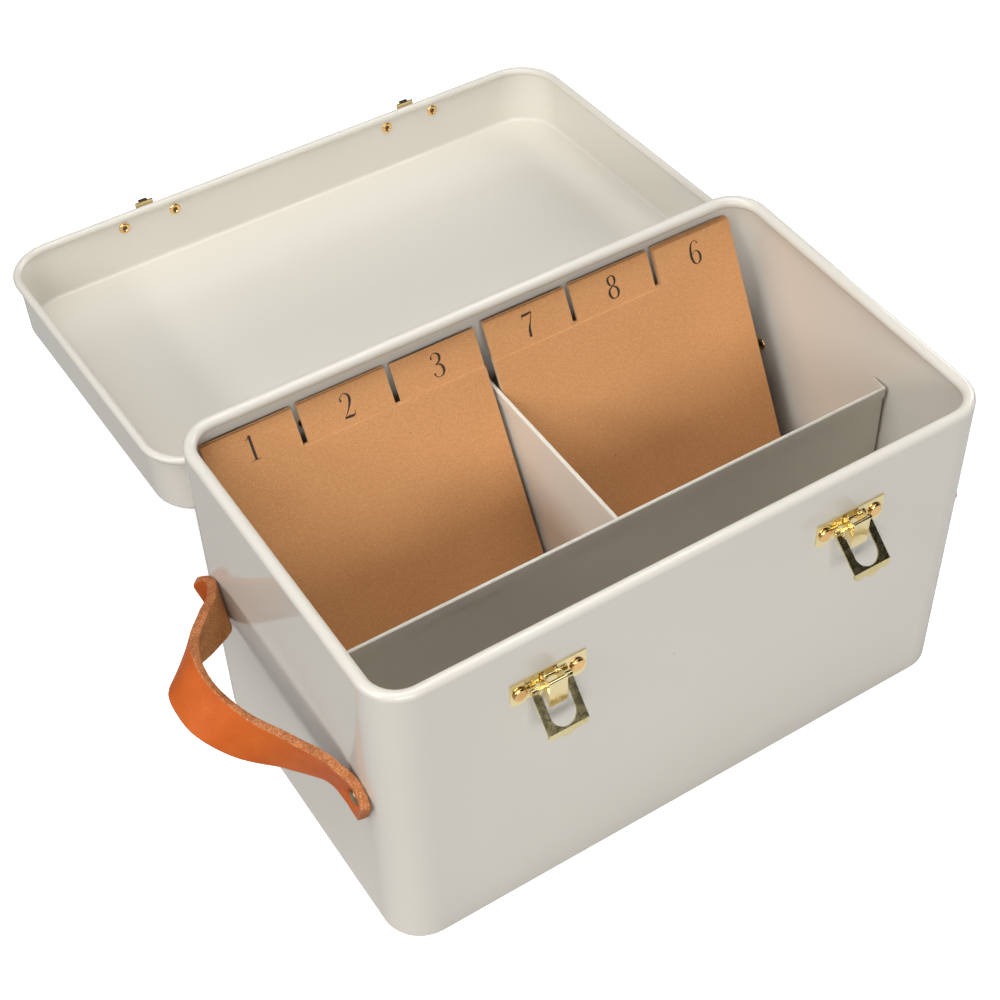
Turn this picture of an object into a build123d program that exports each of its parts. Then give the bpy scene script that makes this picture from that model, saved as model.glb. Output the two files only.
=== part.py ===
from build123d import *
import os
from math import cos, radians, sin

# Garden seed organizer box: an enamelled steel tin with a hinged lid, two draw latches,
# leather side handles, a lift-out divider and twelve tabbed index cards.
# Millimetres. X runs along the length, -Y is the front with the latches, +Y the rear with
# the hinges, +Z is up. The origin is the middle of the underside.

# Tin body
BODY_LENGTH = 300.0
BODY_WIDTH = 177.0
BODY_CORNER = 18.5
SHEET = 0.8
RIM_RADIUS = 2.9
RIM_MIDDLE_Z = 165.3
HEM_WIDTH = 4.0
CURL_TURN = 150.0
BODY_FRONT = -BODY_WIDTH / 2
BODY_REAR = BODY_WIDTH / 2
BODY_SIDE = BODY_LENGTH / 2
FLOOR_TOP = 2 * SHEET

# Lid, which fits over the body's rim and hangs open behind it
LID_LENGTH = 305.8
LID_WIDTH = 185.0
LID_CORNER = 22.5
LID_HEIGHT = 32.4
LID_TOP_FILLET = 2.6
LID_BEAD_RADIUS = 2.0
LID_BEAD_OUT = 0.2
LID_CLOSED_Z = 153.2
LID_OPEN_ANGLE = 183.6
PIVOT_Y = 93.0
PIVOT_Z = 147.4

# Hinges
FITTING_X = 75.5
HINGE_BARREL_RADIUS = 1.6
HINGE_PIN_RADIUS = 0.8
RUNNING_GAP = 0.05
HINGE_HALF_WIDTH = 18.0
HINGE_KNUCKLE_HALF = 8.0
HINGE_SIDE_GAP = 0.3
HINGE_LEAF_BOTTOM = 136.0
HINGE_LEAF_TOP = 147.0
HINGE_RIVET_Z = 141.2
LID_NECK_IN = 1.85
LID_NECK_TOP = 157.9
LID_LEAF_TOP = 166.2
LID_LEAF_RIVET_Z = 161.8

# Rivets
RIVET_SHANK_RADIUS = 1.5
RIVET_SPACING = 26.7
PLATE_HEAD_RADIUS = 3.4
PLATE_HEAD_HEIGHT = 1.4
SMALL_HEAD_RADIUS = 2.4
SMALL_HEAD_HEIGHT = 0.9
INNER_HEAD_RADIUS = 2.6
INNER_HEAD_HEIGHT = 0.5
HEAD_ROUNDING = 0.8

# Latches sit a little to the left of the hinges
LATCH_SHIFT = -0.8

# Latch base plates
PLATE_HALF_WIDTH = 17.75
PLATE_BOTTOM = 131.2
PLATE_TOP = 144.6
PLATE_THICKNESS = 0.8
PLATE_RIVET_Z = 138.1
PLATE_NOTCH_RISE = 1.7
EAR_INNER = 2.3
EAR_OUTER = 3.0
EAR_RADIUS = 1.15

# Thumb levers
LEVER_PIVOT_Y = -90.9
LEVER_PIVOT_Z = 143.0
LEVER_PIN_RADIUS = 0.7
LEVER_HALF_WIDTH = 4.3
LEVER_SHEET = 0.7
LEVER_FRONT = -96.5
LEVER_BOTTOM = 130.4
LEVER_TOP = 144.2
LEVER_BACK = -89.65
LEVER_EYE_RADIUS = 1.2
LEVER_LIP_RADIUS = 0.6

# Hasps
HASP_PIVOT_Y = -91.2
HASP_PIVOT_Z = 137.5
HASP_PIN_RADIUS = 0.7
HASP_HALF_WIDTH = 9.5
HASP_ARM_INNER = 5.9
HASP_SHEET = 0.9
HASP_BARREL_RADIUS = 1.4
HASP_FOLD = 19.0
HASP_CUT_END = 18.4
HASP_LIP = 4.6
HASP_LIP_BEND = 45.0
HASP_HANG = {"left": 40.5, "right": 51.0}

# Keepers on the lid's front wall
KEEPER_HALF_WIDTH = 17.5
KEEPER_BOTTOM = 157.6
KEEPER_TOP = 166.1
KEEPER_RIVET_SPACING = 27.7
KEEPER_RIVET_Z = 160.4
KEEPER_TONGUE_HALF = 4.7
KEEPER_TONGUE_FRONT = -95.9
KEEPER_TONGUE_BOTTOM = 152.2
KEEPER_HOOK_HALF = 2.2
KEEPER_HOOK_FRONT = -97.9

# Dividers
DIVIDER_MIDDLE_Y = -26.4
DIVIDER_SHEET = 0.8
DIVIDER_HALF_LENGTH = 147.6
DIVIDER_TOP = 128.0
DIVIDER_BOTTOM = 2.0
DIVIDER_FLANGE = 8.0
CROSS_FLANGE_TOP = 116.0
CROSS_HEM_HALF = 1.0
CROSS_HEM_HEIGHT = 5.5
CROSS_HEM_ROUND = 0.8
CROSS_REAR = 87.2

# Index cards
CARD_WIDTH = 136.4
CARD_LENGTH = 175.0
CARD_TAB_HEIGHT = 18.2
CARD_TAB_WIDTH = 43.6
CARD_THICKNESS = 0.3
CARD_PITCH = 0.46
CARD_FOOT_Z = 2.4
CARD_CORNER = 0.6
LEFT_STACK_X = -70.8
RIGHT_STACK_X = 69.9
LEFT_LEAN = 29.2
RIGHT_LEAN = 28.3
REAR_TAB_Y = 86.0

# Leather handles: stand-off, rise and tilt of the middle line at six even stations, from the
# middle of the strap to its rivet
HANDLE_HALF_SPAN = 62.5
HANDLE_RIVET_Z = 86.4
HANDLE_WIDTH = 21.4
HANDLE_THICKNESS = 4.2
HANDLE_WALL_GAP = 0.3
HANDLE_OUT = (37.4, 35.7, 28.4, 15.3, 3.8, 0.0)
HANDLE_RISE = (24.4, 24.0, 19.4, 13.0, 6.1, 0.0)
HANDLE_TILT = (41.5, 40.0, 22.2, -5.6, -13.6, 0.0)
HANDLE_SPANS = 20
HANDLE_END = 8.4
HANDLE_END_FILLET = 2.0
HANDLE_SINK_RADIUS = 3.8
HANDLE_SINK_DEPTH = 2.2
HANDLE_HEAD_RADIUS = 3.5
HANDLE_HEAD_HEIGHT = 1.7

os.makedirs("parts", exist_ok=True)
SIDES = (("left", -1), ("right", 1))


def latch_x(sign):
    """Middle of a latch and of its keeper along the length."""
    return sign * FITTING_X + LATCH_SHIFT


def save(built, name):
    built.part.label = name
    export_step(built.part, f"parts/{name}.step")


def front_plane(x, y):
    """Upright sketch plane facing the front: local x is +X, local y is +Z."""
    return Plane(origin=(x, y, 0), x_dir=(1, 0, 0), z_dir=(0, -1, 0))


def side_plane(x):
    """Upright sketch plane facing +X: local x is +Y, local y is +Z."""
    return Plane(origin=(x, 0, 0), x_dir=(0, 1, 0), z_dir=(1, 0, 0))


def opened(y, z):
    """Where a point of the closed lid lies once the lid hangs open."""
    turn = radians(LID_OPEN_ANGLE)
    dy = y - PIVOT_Y
    dz = z - PIVOT_Z
    new_y = PIVOT_Y + dy * cos(turn) + dz * sin(turn)
    new_z = PIVOT_Z - dy * sin(turn) + dz * cos(turn)
    return new_y, new_z


OPEN_Y_DIR = (0, cos(radians(LID_OPEN_ANGLE)), -sin(radians(LID_OPEN_ANGLE)))
OPEN_Z_DIR = (0, sin(radians(LID_OPEN_ANGLE)), cos(radians(LID_OPEN_ANGLE)))


def lid_level(z):
    """Level plane of the lid at closed height z, carried to the open pose."""
    y, new_z = opened(0, z)
    return Plane(origin=(0, y, new_z), x_dir=(1, 0, 0), z_dir=OPEN_Z_DIR)


def lid_side(x):
    """Side plane of the lid, drawn in closed Y and Z, carried to the open pose."""
    y, z = opened(0, 0)
    return Plane(origin=(x, y, z), x_dir=OPEN_Y_DIR, z_dir=(1, 0, 0))


def rivet_set(seats, head_radius, head_height, shank_out, shank_in):
    """Rivets whose axis is the normal of each seat plane; the seat is the wall's outer face."""
    with BuildPart() as rivets:
        for seat in seats:
            with BuildSketch(seat.offset(shank_out)):
                Circle(head_radius)
            extrude(amount=head_height)
        top_edges = rivets.edges().filter_by(GeomType.CIRCLE)
        crown_edges = []
        for seat in seats:
            crown = seat.origin + seat.z_dir * (shank_out + head_height)
            crown_edges.append(top_edges.sort_by_distance(crown)[0])
        fillet(crown_edges, radius=head_height * HEAD_ROUNDING)
        for seat in seats:
            with BuildSketch(seat.offset(-shank_in)):
                Circle(RIVET_SHANK_RADIUS)
            extrude(amount=shank_in + shank_out)
            with BuildSketch(seat.offset(-shank_in)):
                Circle(INNER_HEAD_RADIUS)
            extrude(amount=-INNER_HEAD_HEIGHT)
    return rivets


# Rivet seats: each plane's origin is on the axis at the wall's outer face
front_seats = [
    Plane(origin=(latch_x(sign) + dx, BODY_FRONT, PLATE_RIVET_Z), x_dir=(1, 0, 0), z_dir=(0, -1, 0))
    for _, sign in SIDES
    for dx in (-RIVET_SPACING / 2, RIVET_SPACING / 2)
]
rear_seats = [
    Plane(origin=(sign * FITTING_X + dx, BODY_REAR, HINGE_RIVET_Z), x_dir=(-1, 0, 0), z_dir=(0, 1, 0))
    for _, sign in SIDES
    for dx in (-RIVET_SPACING / 2, RIVET_SPACING / 2)
]
handle_seats = [
    Plane(origin=(sign * BODY_SIDE, y, HANDLE_RIVET_Z), x_dir=(0, sign, 0), z_dir=(sign, 0, 0))
    for _, sign in SIDES
    for y in (-HANDLE_HALF_SPAN, HANDLE_HALF_SPAN)
]
lid_front_y = -LID_WIDTH / 2
lid_rear_y = LID_WIDTH / 2
keeper_seats = []
lid_hinge_seats = []
for side_name, sign in SIDES:
    for step in (-0.5, 0.5):
        keeper_y, keeper_z = opened(lid_front_y, KEEPER_RIVET_Z)
        keeper_seats.append(
            Plane(
                origin=(latch_x(sign) + step * KEEPER_RIVET_SPACING, keeper_y, keeper_z),
                x_dir=(1, 0, 0),
                z_dir=(0, -OPEN_Y_DIR[1], -OPEN_Y_DIR[2]),
            )
        )
        leaf_y, leaf_z = opened(lid_rear_y, LID_LEAF_RIVET_Z)
        lid_hinge_seats.append(
            Plane(
                origin=(sign * FITTING_X + step * RIVET_SPACING, leaf_y, leaf_z),
                x_dir=(-1, 0, 0),
                z_dir=OPEN_Y_DIR,
            )
        )


# Body shell: wall, inward hem and curled rim are one sheet swept round the outline
curl_x = RIM_RADIUS
curl_inner = RIM_RADIUS - SHEET
curl_split = 180 - CURL_TURN
body_outline = RectangleRounded(BODY_LENGTH, BODY_WIDTH, BODY_CORNER).face().outer_wire()
with BuildPart() as body_shell:
    start_plane = Plane(origin=(0, BODY_FRONT, 0), x_dir=(0, 1, 0), z_dir=(1, 0, 0))
    with BuildSketch(start_plane):
        with BuildLine():
            Line((0, 0), (0, RIM_MIDDLE_Z))
            CenterArc((curl_x, RIM_MIDDLE_Z), RIM_RADIUS, 180, -CURL_TURN)
            outer_end = CenterArc((curl_x, RIM_MIDDLE_Z), RIM_RADIUS, curl_split, -CURL_TURN)
            inner_end = CenterArc((curl_x, RIM_MIDDLE_Z), curl_inner, curl_split, -CURL_TURN)
            Line(outer_end @ 1, inner_end @ 1)
            CenterArc((curl_x, RIM_MIDDLE_Z), curl_inner, 180, -CURL_TURN)
            Polyline(
                (SHEET, RIM_MIDDLE_Z),
                (SHEET, FLOOR_TOP),
                (SHEET + HEM_WIDTH, FLOOR_TOP),
                (SHEET + HEM_WIDTH, SHEET),
                (SHEET, SHEET),
                (SHEET, 0),
                (0, 0),
            )
        make_face()
    sweep(path=body_outline)
    for seat in front_seats + rear_seats + handle_seats:
        with BuildSketch(seat):
            Circle(RIVET_SHANK_RADIUS)
        extrude(amount=2 * SHEET, both=True, mode=Mode.SUBTRACT)
save(body_shell, "body_shell")

# Base panel, fixed inside the wall under the hem
with BuildPart() as base_panel:
    with BuildSketch(Plane.XY):
        RectangleRounded(BODY_LENGTH - 2 * SHEET, BODY_WIDTH - 2 * SHEET, BODY_CORNER - SHEET)
    extrude(amount=SHEET)
save(base_panel, "base_panel")

# Long divider with its end flanges folded to the rear
with BuildPart() as divider_long:
    divider_front = DIVIDER_MIDDLE_Y - DIVIDER_SHEET / 2
    divider_rear = DIVIDER_MIDDLE_Y + DIVIDER_SHEET / 2
    with BuildSketch(Plane.XY.offset(DIVIDER_BOTTOM)):
        with BuildLine():
            Polyline(
                (-DIVIDER_HALF_LENGTH, divider_front),
                (DIVIDER_HALF_LENGTH, divider_front),
                (DIVIDER_HALF_LENGTH, divider_front + DIVIDER_FLANGE),
                (DIVIDER_HALF_LENGTH - DIVIDER_SHEET, divider_front + DIVIDER_FLANGE),
                (DIVIDER_HALF_LENGTH - DIVIDER_SHEET, divider_rear),
                (-DIVIDER_HALF_LENGTH + DIVIDER_SHEET, divider_rear),
                (-DIVIDER_HALF_LENGTH + DIVIDER_SHEET, divider_front + DIVIDER_FLANGE),
                (-DIVIDER_HALF_LENGTH, divider_front + DIVIDER_FLANGE),
                close=True,
            )
        make_face()
    extrude(amount=DIVIDER_TOP - DIVIDER_BOTTOM)
    fold_edges = divider_long.edges().filter_by(Axis.Z).group_by(Axis.Y)[0]
    fillet(fold_edges, radius=DIVIDER_SHEET * 0.9)
save(divider_long, "divider_long")

# Cross divider, with a flange that is fixed to the long one and a folded hem along its top
with BuildPart() as divider_cross:
    half_sheet = DIVIDER_SHEET / 2
    with BuildSketch(front_plane(0, divider_rear)):
        with Locations((0, DIVIDER_BOTTOM)):
            Rectangle(DIVIDER_SHEET, DIVIDER_TOP - DIVIDER_BOTTOM, align=(Align.CENTER, Align.MIN))
        with BuildLine():
            hem_low = DIVIDER_TOP - CROSS_HEM_HEIGHT
            Polyline(
                (-CROSS_HEM_HALF, hem_low),
                (CROSS_HEM_HALF, hem_low),
                (CROSS_HEM_HALF, DIVIDER_TOP),
                (-CROSS_HEM_HALF, DIVIDER_TOP),
                close=True,
            )
        make_face()
    extrude(amount=-(CROSS_REAR - divider_rear))
    hem_edges = divider_cross.edges().filter_by(Axis.Y).group_by(Axis.Z)[-1]
    fillet(hem_edges, radius=CROSS_HEM_ROUND)
    with BuildSketch(Plane.XY.offset(DIVIDER_BOTTOM)):
        with Locations((half_sheet, divider_rear)):
            Rectangle(DIVIDER_FLANGE - half_sheet, DIVIDER_SHEET, align=(Align.MIN, Align.MIN))
    extrude(amount=CROSS_FLANGE_TOP - DIVIDER_BOTTOM)
save(divider_cross, "divider_cross")


def latch_plate(sign):
    """Base plate with scalloped lower edge and the two ears that carry the lever's pin."""
    plate_x = latch_x(sign)
    low = PLATE_BOTTOM
    notch = PLATE_BOTTOM + PLATE_NOTCH_RISE
    edge = PLATE_HALF_WIDTH
    with BuildPart() as plate:
        with BuildSketch(front_plane(plate_x, BODY_FRONT)):
            with BuildLine():
                Polyline((-edge, low + 3), (-edge, PLATE_TOP), (edge, PLATE_TOP), (edge, low + 3))
                ThreePointArc((edge, low + 3), (edge - 1.2, low + 0.8), (edge - 4, low))
                ThreePointArc((edge - 4, low), (edge - 6, low + 0.4), (edge - 8, notch))
                ThreePointArc((edge - 8, notch), (0, low), (-edge + 8, notch))
                ThreePointArc((-edge + 8, notch), (-edge + 6, low + 0.4), (-edge + 4, low))
                ThreePointArc((-edge + 4, low), (-edge + 1.2, low + 0.8), (-edge, low + 3))
            make_face()
        extrude(amount=PLATE_THICKNESS)
        ear_width = EAR_OUTER - EAR_INNER
        for ear_start in (-EAR_OUTER, EAR_INNER):
            with BuildSketch(side_plane(plate_x + ear_start)):
                with Locations((LEVER_PIVOT_Y, LEVER_PIVOT_Z)):
                    Circle(EAR_RADIUS)
                with Locations(((LEVER_PIVOT_Y + BODY_FRONT) / 2, LEVER_PIVOT_Z)):
                    Rectangle(BODY_FRONT - LEVER_PIVOT_Y, 2 * EAR_RADIUS)
            extrude(amount=ear_width)
        with BuildSketch(side_plane(plate_x - EAR_OUTER)):
            with Locations((LEVER_PIVOT_Y, LEVER_PIVOT_Z)):
                Circle(LEVER_PIN_RADIUS)
        extrude(amount=2 * EAR_OUTER, mode=Mode.SUBTRACT)
        for seat in front_seats:
            if abs(seat.origin.X - plate_x) < PLATE_HALF_WIDTH:
                with BuildSketch(seat):
                    Circle(RIVET_SHANK_RADIUS)
                extrude(amount=PLATE_THICKNESS, mode=Mode.SUBTRACT)
    return plate


def latch_lever(sign):
    """Box-shaped thumb lever, open at top and bottom, with a rolled lip at its top front."""
    lever_x = latch_x(sign)
    with BuildPart() as lever:
        with BuildSketch(side_plane(lever_x - LEVER_HALF_WIDTH)):
            with BuildLine():
                Line((LEVER_FRONT, LEVER_BOTTOM), (LEVER_FRONT, LEVER_TOP))
                Line((LEVER_FRONT, LEVER_TOP), (LEVER_PIVOT_Y, LEVER_PIVOT_Z + LEVER_EYE_RADIUS))
                ThreePointArc(
                    (LEVER_PIVOT_Y, LEVER_PIVOT_Z + LEVER_EYE_RADIUS),
                    (
                        LEVER_PIVOT_Y + LEVER_EYE_RADIUS * sin(radians(45)),
                        LEVER_PIVOT_Z + LEVER_EYE_RADIUS * cos(radians(45)),
                    ),
                    (LEVER_PIVOT_Y + LEVER_EYE_RADIUS, LEVER_PIVOT_Z),
                )
                Polyline(
                    (LEVER_PIVOT_Y + LEVER_EYE_RADIUS, LEVER_PIVOT_Z),
                    (LEVER_BACK, HASP_PIVOT_Z),
                    (HASP_PIVOT_Y, HASP_PIVOT_Z - HASP_BARREL_RADIUS),
                    (LEVER_FRONT + LEVER_SHEET, LEVER_BOTTOM + LEVER_SHEET),
                    (LEVER_FRONT, LEVER_BOTTOM),
                )
            make_face()
        extrude(amount=2 * LEVER_HALF_WIDTH)
        inner_front = LEVER_FRONT + LEVER_SHEET
        with BuildSketch(side_plane(lever_x - LEVER_HALF_WIDTH + LEVER_SHEET)):
            with Locations((inner_front, LEVER_BOTTOM - 2)):
                Rectangle(12, 20, align=(Align.MIN, Align.MIN))
        extrude(amount=2 * (LEVER_HALF_WIDTH - LEVER_SHEET), mode=Mode.SUBTRACT)
        with BuildSketch(side_plane(lever_x - LEVER_HALF_WIDTH)):
            with Locations((LEVER_FRONT + LEVER_LIP_RADIUS, LEVER_TOP)):
                Circle(LEVER_LIP_RADIUS)
        extrude(amount=2 * LEVER_HALF_WIDTH)
        with BuildSketch(side_plane(lever_x - LEVER_HALF_WIDTH)):
            with Locations((LEVER_PIVOT_Y, LEVER_PIVOT_Z)):
                Circle(LEVER_PIN_RADIUS + RUNNING_GAP)
            with Locations((HASP_PIVOT_Y, HASP_PIVOT_Z)):
                Circle(HASP_PIN_RADIUS)
        extrude(amount=2 * LEVER_HALF_WIDTH, mode=Mode.SUBTRACT)
    return lever


def round_pin(x, y, z, half_length, radius):
    """Plain pin along X."""
    with BuildPart() as pin:
        with BuildSketch(side_plane(x - half_length)):
            with Locations((y, z)):
                Circle(radius)
        extrude(amount=2 * half_length)
    return pin


def latch_hasp(sign, hang):
    """U-shaped hasp: two arms curled round the pin, a fold, and a scalloped finger lip."""
    hasp_x = latch_x(sign)
    arm = radians(hang)
    lip = radians(hang - HASP_LIP_BEND)
    arm_plane = Plane(
        origin=(hasp_x, HASP_PIVOT_Y, HASP_PIVOT_Z), x_dir=(1, 0, 0), z_dir=(0, -cos(arm), sin(arm))
    )
    fold_y = HASP_PIVOT_Y - HASP_FOLD * sin(arm)
    fold_z = HASP_PIVOT_Z - HASP_FOLD * cos(arm)
    lip_plane = Plane(
        origin=(hasp_x, fold_y, fold_z), x_dir=(1, 0, 0), z_dir=(0, -cos(lip), sin(lip))
    )
    half = HASP_SHEET / 2
    wide = HASP_HALF_WIDTH
    cut = HASP_ARM_INNER
    cut_round = HASP_CUT_END - cut
    with BuildPart() as hasp:
        with BuildSketch(arm_plane.offset(-half)):
            with BuildLine():
                Polyline(
                    (-cut, -cut_round), (-cut, 0), (-wide, 0), (-wide, -HASP_FOLD),
                    (wide, -HASP_FOLD), (wide, 0), (cut, 0), (cut, -cut_round),
                )
                ThreePointArc((cut, -cut_round), (0, -HASP_CUT_END), (-cut, -cut_round))
            make_face()
        extrude(amount=HASP_SHEET)
        with BuildSketch(side_plane(hasp_x - wide)):
            with Locations((fold_y, fold_z)):
                Circle(half)
        extrude(amount=2 * wide)
        with BuildSketch(lip_plane.offset(-half)):
            with BuildLine():
                Line((-wide, 0), (wide, 0))
                Line((wide, 0), (wide, -HASP_LIP * 0.35))
                ThreePointArc((wide, -HASP_LIP * 0.35), (wide * 0.9, -HASP_LIP * 0.72), (wide * 0.68, -HASP_LIP * 0.8))
                Spline(
                    (wide * 0.68, -HASP_LIP * 0.8), (wide * 0.45, -HASP_LIP * 0.72),
                    (wide * 0.2, -HASP_LIP), (0, -HASP_LIP * 1.12),
                )
                Spline(
                    (0, -HASP_LIP * 1.12), (-wide * 0.2, -HASP_LIP),
                    (-wide * 0.45, -HASP_LIP * 0.72), (-wide * 0.68, -HASP_LIP * 0.8),
                )
                ThreePointArc(
                    (-wide * 0.68, -HASP_LIP * 0.8), (-wide * 0.9, -HASP_LIP * 0.72), (-wide, -HASP_LIP * 0.35)
                )
                Line((-wide, -HASP_LIP * 0.35), (-wide, 0))
            make_face()
        extrude(amount=HASP_SHEET)
        for arm_start in (-wide, cut):
            with BuildSketch(side_plane(hasp_x + arm_start)):
                with Locations((HASP_PIVOT_Y, HASP_PIVOT_Z)):
                    Circle(HASP_BARREL_RADIUS)
            extrude(amount=wide - cut)
        with BuildSketch(side_plane(hasp_x - wide)):
            with Locations((HASP_PIVOT_Y, HASP_PIVOT_Z)):
                Circle(HASP_PIN_RADIUS + RUNNING_GAP)
        extrude(amount=2 * wide, mode=Mode.SUBTRACT)
    return hasp


for side_name, sign in SIDES:
    save(latch_plate(sign), f"latch_plate_{side_name}")
    save(latch_lever(sign), f"latch_lever_{side_name}")
    lever_pin = round_pin(
        latch_x(sign), LEVER_PIVOT_Y, LEVER_PIVOT_Z, LEVER_HALF_WIDTH + 0.1, LEVER_PIN_RADIUS
    )
    save(lever_pin, f"lever_pin_{side_name}")
    hasp_pin = round_pin(
        latch_x(sign), HASP_PIVOT_Y, HASP_PIVOT_Z, HASP_HALF_WIDTH + 0.2, HASP_PIN_RADIUS
    )
    save(hasp_pin, f"hasp_pin_{side_name}")
    save(latch_hasp(sign, HASP_HANG[side_name]), f"latch_hasp_{side_name}")

save(rivet_set(front_seats, PLATE_HEAD_RADIUS, PLATE_HEAD_HEIGHT, PLATE_THICKNESS, SHEET), "latch_rivets")
save(rivet_set(rear_seats, SMALL_HEAD_RADIUS, SMALL_HEAD_HEIGHT, PLATE_THICKNESS, SHEET), "hinge_body_rivets")


# Lid shell, drawn in its closed position and carried to the open pose
bead_outline = RectangleRounded(
    LID_LENGTH + 2 * LID_BEAD_OUT, LID_WIDTH + 2 * LID_BEAD_OUT, LID_CORNER + LID_BEAD_OUT
)
bead_level = lid_level(LID_CLOSED_Z + LID_BEAD_RADIUS)
bead_wire = (bead_level * bead_outline).face().outer_wire()
bead_y = -(LID_WIDTH / 2 + LID_BEAD_OUT)
with BuildPart() as lid_shell:
    with BuildSketch(bead_level):
        RectangleRounded(LID_LENGTH, LID_WIDTH, LID_CORNER)
    extrude(amount=LID_HEIGHT - LID_BEAD_RADIUS)
    top_face = lid_shell.faces().sort_by(Axis((0, 0, 0), OPEN_Z_DIR))[-1]
    fillet(top_face.edges(), radius=LID_TOP_FILLET)
    open_face = lid_shell.faces().sort_by(Axis((0, 0, 0), OPEN_Z_DIR))[0]
    offset(amount=-SHEET, openings=open_face, kind=Kind.ARC)
    with BuildSketch(lid_side(0)):
        with Locations((bead_y, LID_CLOSED_Z + LID_BEAD_RADIUS)):
            Circle(LID_BEAD_RADIUS)
    sweep(path=bead_wire)
    for seat in keeper_seats + lid_hinge_seats:
        with BuildSketch(seat):
            Circle(RIVET_SHANK_RADIUS)
        extrude(amount=2 * SHEET, both=True, mode=Mode.SUBTRACT)
save(lid_shell, "lid_shell")


def keeper(sign):
    """Catch plate on the lid's front wall, with a tongue over the bead that the hasp pulls on."""
    keeper_x = latch_x(sign)
    face = lid_front_y
    skin = PLATE_THICKNESS
    with BuildPart() as catch:
        with BuildSketch(lid_side(keeper_x - KEEPER_HALF_WIDTH)):
            with Locations((face - skin, KEEPER_BOTTOM)):
                Rectangle(skin, KEEPER_TOP - KEEPER_BOTTOM, align=(Align.MIN, Align.MIN))
        extrude(amount=2 * KEEPER_HALF_WIDTH)
        corner_edges = catch.edges().filter_by(Axis((0, 0, 0), OPEN_Y_DIR))
        fillet(corner_edges, radius=1.6)
        with BuildSketch(lid_side(keeper_x - KEEPER_TONGUE_HALF)):
            with BuildLine():
                Polyline(
                    (face, KEEPER_BOTTOM),
                    (face, KEEPER_BOTTOM + skin),
                    (KEEPER_TONGUE_FRONT, KEEPER_BOTTOM + skin),
                    (KEEPER_TONGUE_FRONT, KEEPER_TONGUE_BOTTOM),
                    (KEEPER_TONGUE_FRONT + skin, KEEPER_TONGUE_BOTTOM),
                    (KEEPER_TONGUE_FRONT + skin, KEEPER_BOTTOM),
                    close=True,
                )
            make_face()
        extrude(amount=2 * KEEPER_TONGUE_HALF)
        with BuildSketch(lid_side(keeper_x - KEEPER_HOOK_HALF)):
            with Locations((KEEPER_HOOK_FRONT, KEEPER_TONGUE_BOTTOM)):
                Rectangle(
                    KEEPER_TONGUE_FRONT + skin - KEEPER_HOOK_FRONT, skin, align=(Align.MIN, Align.MIN)
                )
        extrude(amount=2 * KEEPER_HOOK_HALF)
        for seat in keeper_seats:
            if abs(seat.origin.X - keeper_x) < KEEPER_HALF_WIDTH:
                with BuildSketch(seat):
                    Circle(RIVET_SHANK_RADIUS)
                extrude(amount=skin, mode=Mode.SUBTRACT)
    return catch


def hinge_body_leaf(sign):
    """Leaf on the body's rear wall with the two outer knuckles."""
    leaf_x = sign * FITTING_X
    skin = PLATE_THICKNESS
    barrel = HINGE_BARREL_RADIUS
    knuckle = HINGE_KNUCKLE_HALF + HINGE_SIDE_GAP
    with BuildPart() as leaf:
        with BuildSketch(side_plane(leaf_x - HINGE_HALF_WIDTH)):
            with Locations((BODY_REAR, HINGE_LEAF_BOTTOM)):
                Rectangle(skin, HINGE_LEAF_TOP - HINGE_LEAF_BOTTOM, align=(Align.MIN, Align.MIN))
        extrude(amount=2 * HINGE_HALF_WIDTH)
        for start in (-HINGE_HALF_WIDTH, knuckle):
            with BuildSketch(side_plane(leaf_x + start)):
                with Locations((BODY_REAR, HINGE_LEAF_TOP - skin)):
                    Rectangle(PIVOT_Y - BODY_REAR, skin, align=(Align.MIN, Align.MIN))
                with Locations((PIVOT_Y, PIVOT_Z)):
                    Circle(barrel)
            extrude(amount=HINGE_HALF_WIDTH - knuckle)
        with BuildSketch(side_plane(leaf_x - HINGE_HALF_WIDTH)):
            with Locations((PIVOT_Y, PIVOT_Z)):
                Circle(HINGE_PIN_RADIUS)
        extrude(amount=2 * HINGE_HALF_WIDTH, mode=Mode.SUBTRACT)
        for seat in rear_seats:
            if abs(seat.origin.X - leaf_x) < HINGE_HALF_WIDTH:
                with BuildSketch(seat):
                    Circle(RIVET_SHANK_RADIUS)
                extrude(amount=skin, mode=Mode.SUBTRACT)
    return leaf


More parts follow.
